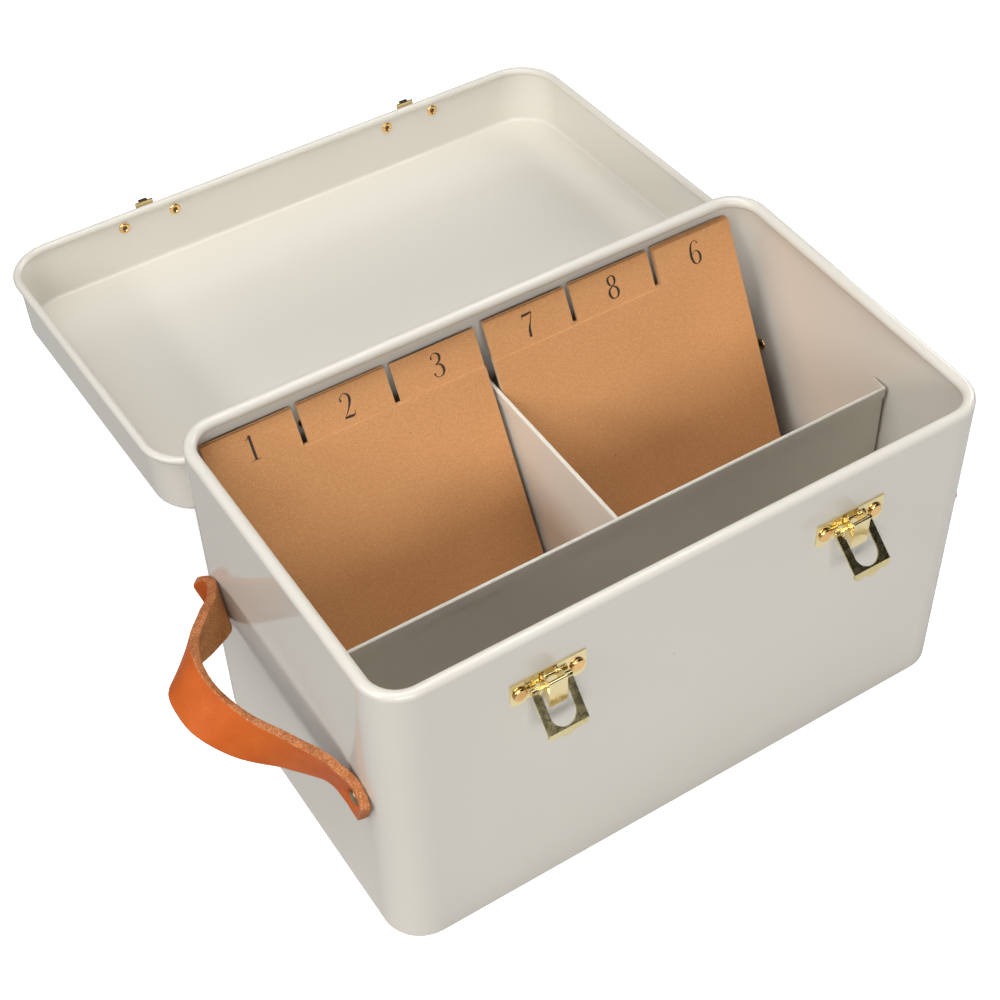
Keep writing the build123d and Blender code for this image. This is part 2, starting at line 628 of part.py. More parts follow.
def hinge_lid_leaf(sign):
    """Leaf on the lid's rear wall; its neck steps out past the bead to the middle knuckle."""
    leaf_x = sign * FITTING_X
    skin = PLATE_THICKNESS
    neck_in = PIVOT_Y + LID_NECK_IN
    with BuildPart() as leaf:
        with BuildSketch(lid_side(leaf_x - HINGE_KNUCKLE_HALF)):
            with BuildLine():
                Polyline(
                    (PIVOT_Y, PIVOT_Z - skin / 2),
                    (neck_in + skin, PIVOT_Z - skin / 2),
                    (neck_in + skin, LID_NECK_TOP + skin),
                    (lid_rear_y, LID_NECK_TOP + skin),
                    (lid_rear_y, LID_NECK_TOP),
                    (neck_in, LID_NECK_TOP),
                    (neck_in, PIVOT_Z + skin / 2),
                    (PIVOT_Y, PIVOT_Z + skin / 2),
                    close=True,
                )
            make_face()
            with Locations((PIVOT_Y, PIVOT_Z)):
                Circle(HINGE_BARREL_RADIUS)
        extrude(amount=2 * HINGE_KNUCKLE_HALF)
        with BuildSketch(lid_side(leaf_x - HINGE_HALF_WIDTH)):
            with Locations((lid_rear_y, LID_NECK_TOP)):
                Rectangle(skin, LID_LEAF_TOP - LID_NECK_TOP, align=(Align.MIN, Align.MIN))
        extrude(amount=2 * HINGE_HALF_WIDTH)
        with BuildSketch(lid_side(leaf_x - HINGE_KNUCKLE_HALF)):
            with Locations((PIVOT_Y, PIVOT_Z)):
                Circle(HINGE_PIN_RADIUS + RUNNING_GAP)
        extrude(amount=2 * HINGE_KNUCKLE_HALF, mode=Mode.SUBTRACT)
        for seat in lid_hinge_seats:
            if abs(seat.origin.X - leaf_x) < HINGE_HALF_WIDTH:
                with BuildSketch(seat):
                    Circle(RIVET_SHANK_RADIUS)
                extrude(amount=skin, mode=Mode.SUBTRACT)
    return leaf


for side_name, sign in SIDES:
    save(keeper(sign), f"keeper_{side_name}")
    save(hinge_body_leaf(sign), f"hinge_body_leaf_{side_name}")
    save(hinge_lid_leaf(sign), f"hinge_lid_leaf_{side_name}")
    hinge_pin = round_pin(sign * FITTING_X, PIVOT_Y, PIVOT_Z, HINGE_HALF_WIDTH + 0.4, HINGE_PIN_RADIUS)
    save(hinge_pin, f"hinge_pin_{side_name}")

save(rivet_set(keeper_seats, SMALL_HEAD_RADIUS, SMALL_HEAD_HEIGHT, PLATE_THICKNESS, SHEET), "keeper_rivets")
save(
    rivet_set(lid_hinge_seats, SMALL_HEAD_RADIUS, SMALL_HEAD_HEIGHT, PLATE_THICKNESS, SHEET),
    "hinge_lid_rivets",
)


def card(stack_x, lean, order, count, tab):
    """One index card leaning back on the rear wall; tab is -1, 0 or 1 for its tab's place."""
    tilt = radians(lean)
    foot_y = REAR_TAB_Y - (count - 1 - order) * CARD_PITCH - CARD_LENGTH * sin(tilt)
    face = Plane(
        origin=(stack_x, foot_y, CARD_FOOT_Z), x_dir=(1, 0, 0), z_dir=(0, -cos(tilt), sin(tilt))
    )
    half = CARD_WIDTH / 2
    body_top = CARD_LENGTH - CARD_TAB_HEIGHT
    tab_left = tab * (half - CARD_TAB_WIDTH / 2) - CARD_TAB_WIDTH / 2
    tab_right = tab_left + CARD_TAB_WIDTH
    outline = [(-half, 0), (half, 0)]
    if tab < 1:
        outline += [(half, body_top), (tab_right, body_top)]
    outline += [(tab_right, CARD_LENGTH), (tab_left, CARD_LENGTH)]
    if tab > -1:
        outline += [(tab_left, body_top), (-half, body_top)]
    with BuildPart() as sheet:
        with BuildSketch(face.offset(-CARD_THICKNESS / 2)) as card_face:
            with BuildLine():
                Polyline(*outline, close=True)
            make_face()
            upper = [v for v in card_face.vertices() if v.Y > CARD_LENGTH / 2]
            fillet(upper, radius=CARD_CORNER)
        extrude(amount=CARD_THICKNESS)
    return sheet, foot_y


# Five cards stand in the left compartment and seven in the right, front card first
LEFT_TABS = (-1, 0, 1, -1, 0)
RIGHT_TABS = (1, -1, 0, 1, -1, 0, 1)
card_number = 1
for stack_x, lean, tabs in ((LEFT_STACK_X, LEFT_LEAN, LEFT_TABS), (RIGHT_STACK_X, RIGHT_LEAN, RIGHT_TABS)):
    for order, tab in enumerate(tabs):
        sheet, foot_y = card(stack_x, lean, order, len(tabs), tab)
        save(sheet, f"card_{card_number:02d}")
        print(f"card_{card_number:02d} foot y {foot_y:.3f}")
        card_number += 1


def station(values, u, end_slope):
    """Smooth curve through six even stations, level at the middle of the strap."""
    last = len(values) - 1
    place = min(abs(u) * last, last - 1e-9)
    index = int(place)
    t = place - index
    slopes = [0.0]
    slopes += [(values[i + 1] - values[i - 1]) / 2 for i in range(1, last)]
    slopes += [end_slope]
    p0 = values[index]
    p1 = values[index + 1]
    m0 = slopes[index]
    m1 = slopes[index + 1]
    h0 = 2 * t**3 - 3 * t**2 + 1
    h1 = t**3 - 2 * t**2 + t
    h2 = -2 * t**3 + 3 * t**2
    h3 = t**3 - t**2
    return h0 * p0 + h1 * m0 + h2 * p1 + h3 * m1


RISE_END_SLOPE = HANDLE_RISE[-1] - HANDLE_RISE[-2]


def strap_point(sign, u):
    """Middle line of the strap; u is -1 at the front rivet and 1 at the rear one."""
    out = station(HANDLE_OUT, u, 0.0)
    rise = station(HANDLE_RISE, u, RISE_END_SLOPE)
    x = sign * (BODY_SIDE + HANDLE_WALL_GAP + HANDLE_THICKNESS / 2 + out)
    return Vector(x, HANDLE_HALF_SPAN * u, HANDLE_RIVET_Z + rise)


def strap_plane(sign, u):
    """Cross-section plane of the strap: local x is across its width, local y its thickness."""
    step = 1e-3
    ahead = strap_point(sign, min(u + step, 1.0))
    behind = strap_point(sign, max(u - step, -1.0))
    along = (ahead - behind).normalized()
    tilt = radians(station(HANDLE_TILT, u, 0.0))
    upward = Vector(-sign * sin(tilt), 0, cos(tilt))
    across = (upward - along * upward.dot(along)).normalized()
    return Plane(origin=strap_point(sign, u), x_dir=across, z_dir=along)


def handle_strap(sign):
    """Leather strap standing out from the side wall, with flat rounded ends on the wall."""
    with BuildPart() as strap:
        for index in range(HANDLE_SPANS + 1):
            u = -1 + 2 * index / HANDLE_SPANS
            with BuildSketch(strap_plane(sign, u)):
                Rectangle(HANDLE_WIDTH, HANDLE_THICKNESS)
        loft(ruled=True)
        for end in (-1, 1):
            root = strap_plane(sign, end)
            wall_normal = Vector(sign, 0, 0)
            outward = root.z_dir * end
            middle = root.origin + outward * (HANDLE_END / 2) - wall_normal * (HANDLE_THICKNESS / 2)
            tab_plane = Plane(origin=middle, x_dir=outward, z_dir=wall_normal)
            with BuildSketch(tab_plane) as tab_face:
                Rectangle(HANDLE_END, HANDLE_WIDTH)
                fillet(tab_face.vertices().group_by(Axis.X)[-1], radius=HANDLE_END_FILLET)
            extrude(amount=HANDLE_THICKNESS)
        for seat in handle_seats:
            if seat.origin.X * sign > 0:
                with BuildSketch(seat):
                    Circle(RIVET_SHANK_RADIUS)
                extrude(amount=HANDLE_WALL_GAP + 2 * HANDLE_THICKNESS, mode=Mode.SUBTRACT)
                sink_start = HANDLE_WALL_GAP + HANDLE_THICKNESS - HANDLE_SINK_DEPTH
                with BuildSketch(seat.offset(sink_start)):
                    Circle(HANDLE_SINK_RADIUS)
                extrude(amount=HANDLE_SINK_DEPTH + 2, mode=Mode.SUBTRACT)
    return strap


for side_name, sign in SIDES:
    save(handle_strap(sign), f"handle_strap_{side_name}")

leather_under_head = HANDLE_WALL_GAP + HANDLE_THICKNESS - HANDLE_SINK_DEPTH
save(rivet_set(handle_seats, HANDLE_HEAD_RADIUS, HANDLE_HEAD_HEIGHT, leather_under_head, SHEET), "handle_rivets")
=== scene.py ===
import math

import bmesh
import bpy
from mathutils import Matrix, Vector


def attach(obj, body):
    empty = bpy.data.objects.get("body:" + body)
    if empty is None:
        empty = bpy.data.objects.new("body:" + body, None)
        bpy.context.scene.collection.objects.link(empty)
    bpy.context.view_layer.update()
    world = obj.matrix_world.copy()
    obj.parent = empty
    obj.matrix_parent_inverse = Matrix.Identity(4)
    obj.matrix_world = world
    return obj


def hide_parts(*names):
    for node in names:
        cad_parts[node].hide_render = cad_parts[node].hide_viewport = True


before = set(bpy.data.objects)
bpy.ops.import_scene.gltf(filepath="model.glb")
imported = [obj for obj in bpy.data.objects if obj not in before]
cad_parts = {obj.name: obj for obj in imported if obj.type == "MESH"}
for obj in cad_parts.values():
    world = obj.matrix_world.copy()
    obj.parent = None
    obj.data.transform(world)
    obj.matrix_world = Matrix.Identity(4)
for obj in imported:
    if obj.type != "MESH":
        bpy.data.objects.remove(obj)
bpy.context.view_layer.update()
MM = 0.001

# Sizes of the seed box in millimetres, the same as in its construction
BODY_HALF_LENGTH = 150.0
BODY_HALF_WIDTH = 88.5
SHEET = 0.8
LID_HALF_WIDTH = 92.5
LID_OPEN_ANGLE = math.radians(183.6)
LID_PIVOT = Vector((0, 93.0, 147.4))
FITTING_X = 75.5
LATCH_SHIFT = -0.8
RIVET_SPACING = 26.7
KEEPER_RIVET_SPACING = 27.7
KEEPER_RIVET_Z = 160.4
PLATE_RIVET_Z = 138.1
HINGE_RIVET_Z = 141.2
LID_LEAF_RIVET_Z = 161.8
DIVIDER_MIDDLE_Y = -26.4
DIVIDER_TOP = 128.0
DIVIDER_HALF_LENGTH = 147.6
CARD_WIDTH = 136.4
CARD_LENGTH = 175.0
CARD_TAB_HEIGHT = 18.2
CARD_TAB_WIDTH = 43.6
CARD_THICKNESS = 0.3
CARD_PITCH = 0.46
CARD_FOOT_Z = 2.4
REAR_TAB_Y = 86.0
LEFT_STACK_X = -70.8
RIGHT_STACK_X = 69.9
LEFT_LEAN = math.radians(29.2)
RIGHT_LEAN = math.radians(28.3)
LEFT_TABS = (-1, 0, 1, -1, 0)
RIGHT_TABS = (1, -1, 0, 1, -1, 0, 1)


# Small mesh helpers


def piece_from(bm, name, materials, sharp=35):
    """Turns a bmesh drawn in millimetres into an object of the scene, in metres."""
    bmesh.ops.remove_doubles(bm, verts=bm.verts, dist=1e-5)
    bmesh.ops.recalc_face_normals(bm, faces=bm.faces)
    bmesh.ops.scale(bm, vec=(MM, MM, MM), verts=bm.verts)
    mesh = bpy.data.meshes.new(name)
    bm.to_mesh(mesh)
    bm.free()
    for polygon in mesh.polygons:
        polygon.use_smooth = True
    mesh.set_sharp_from_angle(angle=math.radians(sharp))
    for material in materials:
        mesh.materials.append(material)
    piece = bpy.data.objects.new(name, mesh)
    bpy.context.scene.collection.objects.link(piece)
    return piece


def lid_open_matrix():
    """Carries a point of the closed lid to where it lies with the lid hanging open."""
    back = Matrix.Translation(-LID_PIVOT)
    turn = Matrix.Rotation(-LID_OPEN_ANGLE, 4, "X")
    return Matrix.Translation(LID_PIVOT) @ turn @ back


# Shader node groups


def group_shell(name, inputs, outputs):
    """An empty node group with its sockets, inputs given as (name, type, value)."""
    group = bpy.data.node_groups.new(name, "ShaderNodeTree")
    for socket_name, kind, value in inputs:
        socket = group.interface.new_socket(name=socket_name, in_out="INPUT", socket_type=kind)
        socket.default_value = value
    for socket_name, kind in outputs:
        group.interface.new_socket(name=socket_name, in_out="OUTPUT", socket_type=kind)
    entry = group.nodes.new("NodeGroupInput")
    leave = group.nodes.new("NodeGroupOutput")
    return group, entry, leave


def math_node(tree, operation, first, second=None, clamp=False):
    node = tree.nodes.new("ShaderNodeMath")
    node.operation = operation
    node.use_clamp = clamp
    for index, value in enumerate((first, second)):
        if value is None:
            continue
        if isinstance(value, (int, float)):
            node.inputs[index].default_value = value
        else:
            tree.links.new(value, node.inputs[index])
    return node.outputs[0]


def mix_colour(tree, factor, first, second):
    """A colour between two others. Each of the three is a fixed value or a socket."""
    node = tree.nodes.new("ShaderNodeMix")
    node.data_type = "RGBA"
    sockets = (node.inputs[0], node.inputs[6], node.inputs[7])
    for socket, value in zip(sockets, (factor, first, second)):
        if isinstance(value, bpy.types.NodeSocket):
            tree.links.new(value, socket)
        else:
            socket.default_value = value
    return node.outputs[2]


def noise(tree, coordinate, scale, detail=3.0, rough=0.5):
    node = tree.nodes.new("ShaderNodeTexNoise")
    node.inputs["Scale"].default_value = scale
    node.inputs["Detail"].default_value = detail
    node.inputs["Roughness"].default_value = rough
    tree.links.new(coordinate, node.inputs["Vector"])
    return node.outputs["Fac"]


def ramp(tree, value, low, high, low_out=0.0, high_out=1.0):
    node = tree.nodes.new("ShaderNodeMapRange")
    node.inputs["From Min"].default_value = low
    node.inputs["From Max"].default_value = high
    node.inputs["To Min"].default_value = low_out
    node.inputs["To Max"].default_value = high_out
    tree.links.new(value, node.inputs["Value"])
    return node.outputs["Result"]


def object_position(tree):
    node = tree.nodes.new("ShaderNodeTexCoord")
    return node.outputs["Object"]


def cloudy_tone_group():
    """Slow change of a surface's tone: gives a colour and a mask."""
    group, entry, leave = group_shell(
        "cloudy_tone",
        (
            ("Colour", "NodeSocketColor", (0.5, 0.5, 0.5, 1)),
            ("Other Colour", "NodeSocketColor", (0.4, 0.4, 0.4, 1)),
            ("Size", "NodeSocketFloat", 20.0),
            ("Amount", "NodeSocketFloat", 0.5),
        ),
        (("Colour", "NodeSocketColor"), ("Mask", "NodeSocketFloat")),
    )
    position = object_position(group)
    cloud = group.nodes.new("ShaderNodeTexNoise")
    cloud.inputs["Detail"].default_value = 4.0
    group.links.new(position, cloud.inputs["Vector"])
    group.links.new(entry.outputs["Size"], cloud.inputs["Scale"])
    mask = ramp(group, cloud.outputs["Fac"], 0.3, 0.7)
    weight = math_node(group, "MULTIPLY", mask, entry.outputs["Amount"], clamp=True)
    colour = mix_colour(group, weight, entry.outputs["Colour"], entry.outputs["Other Colour"])
    group.links.new(colour, leave.inputs["Colour"])
    group.links.new(mask, leave.inputs["Mask"])
    return group


def edge_rub_group():
    """Marks convex edges, where handling rubs a finish, broken up by noise."""
    group, entry, leave = group_shell(
        "edge_rub",
        (
            ("Low", "NodeSocketFloat", 0.52),
            ("High", "NodeSocketFloat", 0.6),
            ("Break Up", "NodeSocketFloat", 400.0),
        ),
        (("Mask", "NodeSocketFloat"),),
    )
    geometry = group.nodes.new("ShaderNodeNewGeometry")
    position = object_position(group)
    chips = group.nodes.new("ShaderNodeTexNoise")
    chips.inputs["Detail"].default_value = 3.0
    group.links.new(position, chips.inputs["Vector"])
    group.links.new(entry.outputs["Break Up"], chips.inputs["Scale"])
    edge = group.nodes.new("ShaderNodeMapRange")
    group.links.new(geometry.outputs["Pointiness"], edge.inputs["Value"])
    group.links.new(entry.outputs["Low"], edge.inputs["From Min"])
    group.links.new(entry.outputs["High"], edge.inputs["From Max"])
    chipped = ramp(group, chips.outputs["Fac"], 0.35, 0.6)
    broken = math_node(group, "MULTIPLY", edge.outputs["Result"], chipped)
    group.links.new(broken, leave.inputs["Mask"])
    return group


def fine_relief_group():
    """Two sizes of fine relief mixed into one height."""
    group, entry, leave = group_shell(
        "fine_relief",
        (
            ("Coarse", "NodeSocketFloat", 300.0),
            ("Fine", "NodeSocketFloat", 1500.0),
            ("Fine Share", "NodeSocketFloat", 0.4),
        ),
        (("Height", "NodeSocketFloat"),),
    )
    position = object_position(group)
    heights = []
    for socket in ("Coarse", "Fine"):
        relief = group.nodes.new("ShaderNodeTexNoise")
        relief.inputs["Detail"].default_value = 2.0
        group.links.new(position, relief.inputs["Vector"])
        group.links.new(entry.outputs[socket], relief.inputs["Scale"])
        heights.append(relief.outputs["Fac"])
    fine = math_node(group, "MULTIPLY", heights[1], entry.outputs["Fine Share"])
    total = math_node(group, "ADD", heights[0], fine)
    group.links.new(total, leave.inputs["Height"])
    return group


def leather_grain_group():
    """Pebbled hide: cells with creases between them, and pores; gives height and creases."""
    group, entry, leave = group_shell(
        "leather_grain",
        (
            ("Pebble Size", "NodeSocketFloat", 900.0),
            ("Crease Depth", "NodeSocketFloat", 1.0),
        ),
        (("Height", "NodeSocketFloat"), ("Creases", "NodeSocketFloat")),
    )
    position = object_position(group)
    warp = group.nodes.new("ShaderNodeTexNoise")
    warp.inputs["Scale"].default_value = 250.0
    group.links.new(position, warp.inputs["Vector"])
    bend = group.nodes.new("ShaderNodeVectorMath")
    bend.operation = "MULTIPLY_ADD"
    bend.inputs[1].default_value = (0.0012, 0.0012, 0.0012)
    group.links.new(warp.outputs["Color"], bend.inputs[0])
    group.links.new(position, bend.inputs[2])
    cells = group.nodes.new("ShaderNodeTexVoronoi")
    cells.feature = "DISTANCE_TO_EDGE"
    group.links.new(bend.outputs[0], cells.inputs["Vector"])
    group.links.new(entry.outputs["Pebble Size"], cells.inputs["Scale"])
    creases = ramp(group, cells.outputs["Distance"], 0.0, 0.18, 1.0, 0.0)
    deep = math_node(group, "MULTIPLY", creases, entry.outputs["Crease Depth"])
    pores = ramp(group, noise(group, position, 2600.0, 2.0), 0.3, 0.45)
    high = math_node(group, "SUBTRACT", math_node(group, "MULTIPLY", pores, 0.35), deep)
    group.links.new(high, leave.inputs["Height"])
    group.links.new(creases, leave.inputs["Creases"])
    return group


def fine_specks_group():
    """Rare small dark specks: a mask that is 1 on a speck."""
    group, entry, leave = group_shell(
        "fine_specks",
        (
            ("Per Metre", "NodeSocketFloat", 90.0),
            ("Radius", "NodeSocketFloat", 0.03),
            ("Share", "NodeSocketFloat", 0.3),
        ),
        (("Mask", "NodeSocketFloat"),),
    )
    cells = group.nodes.new("ShaderNodeTexVoronoi")
    group.links.new(object_position(group), cells.inputs["Vector"])
    group.links.new(entry.outputs["Per Metre"], cells.inputs["Scale"])
    inside = math_node(group, "LESS_THAN", cells.outputs["Distance"], entry.outputs["Radius"])
    parts = group.nodes.new("ShaderNodeSeparateColor")
    group.links.new(cells.outputs["Color"], parts.inputs["Color"])
    chosen = math_node(group, "LESS_THAN", parts.outputs["Red"], entry.outputs["Share"])
    group.links.new(math_node(group, "MULTIPLY", inside, chosen), leave.inputs["Mask"])
    return group


CLOUDY_TONE = cloudy_tone_group()
EDGE_RUB = edge_rub_group()
FINE_RELIEF = fine_relief_group()
LEATHER_GRAIN = leather_grain_group()
FINE_SPECKS = fine_specks_group()


def place_group(tree, group, **values):
    node = tree.nodes.new("ShaderNodeGroup")
    node.node_tree = group
    for key, value in values.items():
        node.inputs[key.replace("_", " ")].default_value = value
    return node


def fresh_material(name, metallic=0.0, roughness=0.5):
    material = bpy.data.materials.new(name)
    material.use_nodes = True
    tree = material.node_tree
    shader = tree.nodes["Principled BSDF"]
    shader.inputs["Metallic"].default_value = metallic
    shader.inputs["Roughness"].default_value = roughness
    return material, tree, shader


def bump_from(tree, shader, height, strength, distance):
    bump = tree.nodes.new("ShaderNodeBump")
    bump.inputs["Strength"].default_value = strength
    bump.inputs["Distance"].default_value = distance
    tree.links.new(height, bump.inputs["Height"])
    tree.links.new(bump.outputs["Normal"], shader.inputs["Normal"])


# Finishes of the seed box


CREAM_TONE = (0.742, 0.708, 0.634, 1)
CREAM_SHADE = (0.722, 0.686, 0.608, 1)
ENAMEL_SPECK = (0.2, 0.17, 0.13, 1)
METAL_SPECK = (0.25, 0.17, 0.07, 1)
BRASS_TONE = (0.93, 0.79, 0.46, 1)
BRASS_SHADE = (0.87, 0.71, 0.37, 1)
HASP_TONE = (0.84, 0.72, 0.4, 1)
HASP_TARNISH = (0.58, 0.47, 0.21, 1)
COPPER_TONE = (0.95, 0.62, 0.27, 1)
COPPER_SHADE = (0.88, 0.52, 0.2, 1)
SUNK_TONE = (0.42, 0.35, 0.2, 1)
SUNK_SHADE = (0.24, 0.18, 0.09, 1)
HINGE_TONE = (0.85, 0.72, 0.44, 1)
HINGE_SHADE = (0.74, 0.6, 0.34, 1)
FLESH_TONE = (0.52, 0.22, 0.075, 1)
FLESH_SHADE = (0.24, 0.085, 0.026, 1)
FLESH_PALE = (0.74, 0.4, 0.17, 1)
CUT_LEATHER_TONE = (0.6, 0.22, 0.08, 1)
CUT_LEATHER_SHADE = (0.26, 0.065, 0.018, 1)
CUT_LEATHER_PALE = (0.85, 0.45, 0.22, 1)
STRAP_TAN = (0.66, 0.145, 0.023, 1)
STRAP_TAN_SHADE = (0.54, 0.102, 0.014, 1)
# The crease colour of the strap is painted shade
STRAP_CREASE_SHADE = (0.36, 0.06, 0.009, 1)
STRAP_RUBBED = (0.74, 0.24, 0.06, 1)
KRAFT_TONE = (0.63, 0.308, 0.122, 1)
KRAFT_SHADE = (0.59, 0.281, 0.106, 1)
KRAFT_PALE_FIBRE = (0.79, 0.45, 0.22, 1)
KRAFT_DEEP_FIBRE = (0.47, 0.2, 0.07, 1)
KRAFT_FLECK = (0.13, 0.06, 0.025, 1)
# The cut edge colour of the cards is a painted highlight
KRAFT_EDGE_HIGHLIGHT = (0.9, 0.62, 0.36, 1)
INK_BLACK = (0.022, 0.015, 0.011, 1)
INK_THIN = (0.13, 0.07, 0.035, 1)
# The colours of the rivet hollows are painted shade
HOLLOW_SHADE_DARK = (0.05, 0.035, 0.018, 1)
HOLLOW_SHADE_PALE = (0.16, 0.11, 0.05, 1)


def speckled(tree, colour, speck_colour, strength, **values):
    """Lays the fine specks over a colour."""
    specks = place_group(tree, FINE_SPECKS, **values)
    amount = math_node(tree, "MULTIPLY", specks.outputs["Mask"], strength)
    return mix_colour(tree, amount, colour, speck_colour)


def cream_enamel():
    """Baked cream enamel: glossy and even, with faint waviness and a few dark specks."""
    material, tree, shader = fresh_material("cream_enamel", roughness=0.09)
    tone = place_group(
        tree, CLOUDY_TONE, Colour=CREAM_TONE, Other_Colour=CREAM_SHADE, Size=7.0, Amount=0.8
    )
    marked = speckled(
        tree, tone.outputs["Colour"], ENAMEL_SPECK, 0.7, Per_Metre=62.0, Radius=0.022, Share=0.16
    )
    tree.links.new(marked, shader.inputs["Base Color"])
    haze = noise(tree, object_position(tree), 22.0, 3.0)
    tree.links.new(ramp(tree, haze, 0.0, 1.0, 0.05, 0.12), shader.inputs["Roughness"])
    peel = place_group(tree, FINE_RELIEF, Coarse=60.0, Fine=900.0, Fine_Share=0.04)
    bump_from(tree, shader, peel.outputs["Height"], 0.045, 0.0006)
    return material


def bright_metal(name, colour, shade, roughness, grain=0.5):
    """Plated stamping: slow tarnish, finger haze and very fine rolled grain."""
    material, tree, shader = fresh_material(name, metallic=1.0, roughness=roughness)
    tone = place_group(tree, CLOUDY_TONE, Colour=colour, Other_Colour=shade, Size=130.0, Amount=0.6)
    marked = speckled(
        tree, tone.outputs["Colour"], METAL_SPECK, 0.45, Per_Metre=700.0, Radius=0.12, Share=0.12
    )
    tree.links.new(marked, shader.inputs["Base Color"])
    haze = noise(tree, object_position(tree), 420.0, 5.0, 0.6)
    uneven = ramp(tree, haze, 0.2, 0.8, roughness * 0.7, roughness * 1.4)
    tree.links.new(uneven, shader.inputs["Roughness"])
    rolled = place_group(tree, FINE_RELIEF, Coarse=260.0, Fine=3600.0, Fine_Share=grain)
    bump_from(tree, shader, rolled.outputs["Height"], 0.15, 0.00005)
    return material


def tan_leather():
    """Grain side of the strap: orange tan with small creases and pores, the creases darkened with
    painted shade.
    """
    material, tree, shader = fresh_material("strap_grain_side", roughness=0.42)
    shader.inputs["Specular IOR Level"].default_value = 0.22
    tone = place_group(
        tree, CLOUDY_TONE, Colour=STRAP_TAN, Other_Colour=STRAP_TAN_SHADE, Size=60.0, Amount=0.9
    )
    grain = place_group(tree, LEATHER_GRAIN, Pebble_Size=900.0, Crease_Depth=0.8)
    # Painted shade: the colour is darkened along the creases of the grain
    dark = math_node(tree, "MULTIPLY", grain.outputs["Creases"], 0.22)
    crease_shaded = mix_colour(tree, dark, tone.outputs["Colour"], STRAP_CREASE_SHADE)
    rub = place_group(tree, EDGE_RUB, Low=0.53, High=0.62, Break_Up=700.0)
    rubbed = math_node(tree, "MULTIPLY", rub.outputs["Mask"], 0.5)
    colour = mix_colour(tree, rubbed, crease_shaded, STRAP_RUBBED)
    tree.links.new(colour, shader.inputs["Base Color"])
    tree.links.new(ramp(tree, tone.outputs["Mask"], 0.0, 1.0, 0.38, 0.52), shader.inputs["Roughness"])
    bump_from(tree, shader, grain.outputs["Height"], 0.3, 0.00016)
    return material


def raw_leather(name, colour, shade, pale, size):
    """Flesh side or cut edge: matt and granular, each grain a little lighter or darker."""
    material, tree, shader = fresh_material(name, roughness=0.9)
    shader.inputs["Specular IOR Level"].default_value = 0.2
    tone = place_group(tree, CLOUDY_TONE, Colour=colour, Other_Colour=shade, Size=size, Amount=0.7)
    position = object_position(tree)
    grains = noise(tree, position, 1500.0, 3.0, 0.7)
    dark = mix_colour(tree, ramp(tree, grains, 0.44, 0.34, 0.0, 0.85), tone.outputs["Colour"], shade)
    flecked = mix_colour(tree, ramp(tree, grains, 0.54, 0.66, 0.0, 0.85), dark, pale)
    tree.links.new(flecked, shader.inputs["Base Color"])
    tree.links.new(ramp(tree, grains, 0.3, 0.7, 0.78, 0.95), shader.inputs["Roughness"])
    bump_from(tree, shader, grains, 0.7, 0.0003)
    return material


def kraft_card():
    """Uncoated kraft board: short fibres, a few dark flecks, and a painted highlight that makes the cut
    edges paler.
    """
    material, tree, shader = fresh_material("kraft_board", roughness=0.75)
    shader.inputs["Specular IOR Level"].default_value = 0.35
    tone = place_group(
        tree, CLOUDY_TONE, Colour=KRAFT_TONE, Other_Colour=KRAFT_SHADE, Size=24.0, Amount=0.7
    )
    position = object_position(tree)
    stretch = tree.nodes.new("ShaderNodeMapping")
    stretch.inputs["Scale"].default_value = (1000.0, 1900.0, 1900.0)
    tree.links.new(position, stretch.inputs["Vector"])
    fibre = tree.nodes.new("ShaderNodeTexNoise")
    fibre.inputs["Scale"].default_value = 1.0
    fibre.inputs["Detail"].default_value = 4.0
    fibre.inputs["Roughness"].default_value = 0.65
    tree.links.new(stretch.outputs["Vector"], fibre.inputs["Vector"])
    raised = ramp(tree, fibre.outputs["Fac"], 0.5, 0.75, 0.0, 0.6)
    pale = mix_colour(tree, raised, tone.outputs["Colour"], KRAFT_PALE_FIBRE)
    sunk = ramp(tree, fibre.outputs["Fac"], 0.48, 0.28, 0.0, 0.6)
    deep = mix_colour(tree, sunk, pale, KRAFT_DEEP_FIBRE)
    flecked = speckled(tree, deep, KRAFT_FLECK, 0.6, Per_Metre=170.0, Radius=0.06, Share=0.08)
    # Painted highlight: faces that turn away from the card's broad faces, the cut edges, are made paler
    # as if catching light
    across = tree.nodes.new("ShaderNodeVectorMath")
    across.operation = "DOT_PRODUCT"
    across.inputs[1].default_value = (0.0, -math.cos(LEFT_LEAN), math.sin(LEFT_LEAN))
    tree.links.new(tree.nodes.new("ShaderNodeTexCoord").outputs["Normal"], across.inputs[0])
    cut = ramp(tree, math_node(tree, "ABSOLUTE", across.outputs["Value"]), 0.9, 0.7)
    edge_highlighted = mix_colour(tree, cut, flecked, KRAFT_EDGE_HIGHLIGHT)
    tree.links.new(edge_highlighted, shader.inputs["Base Color"])
    tree.links.new(ramp(tree, fibre.outputs["Fac"], 0.3, 0.7, 0.68, 0.85), shader.inputs["Roughness"])
    bump_from(tree, shader, fibre.outputs["Fac"], 0.12, 0.0001)
    return material


def printing_ink():
    """Dark ink printed on the tabs, a little thin where the fibres show."""
    material, tree, shader = fresh_material("numeral_ink", roughness=0.6)
    thin = ramp(tree, noise(tree, object_position(tree), 1700.0, 4.0), 0.45, 0.75, 0.0, 0.45)
    colour = mix_colour(tree, thin, INK_BLACK, INK_THIN)
    tree.links.new(colour, shader.inputs["Base Color"])
    bump_from(tree, shader, thin, 0.1, 0.00003)
    return material


def eyelet_hollow():
    """Painted shade inside a hollow rivet: dark, with paler painted light from the tube wall in random
    patches.
    """
    material, tree, shader = fresh_material("eyelet_hollow", metallic=0.4, roughness=0.55)
    shade_mottle = noise(tree, object_position(tree), 900.0, 3.0)
    colour = mix_colour(tree, shade_mottle, HOLLOW_SHADE_DARK, HOLLOW_SHADE_PALE)
    tree.links.new(colour, shader.inputs["Base Color"])
    bump_from(tree, shader, shade_mottle, 0.4, 0.0003)
    return material


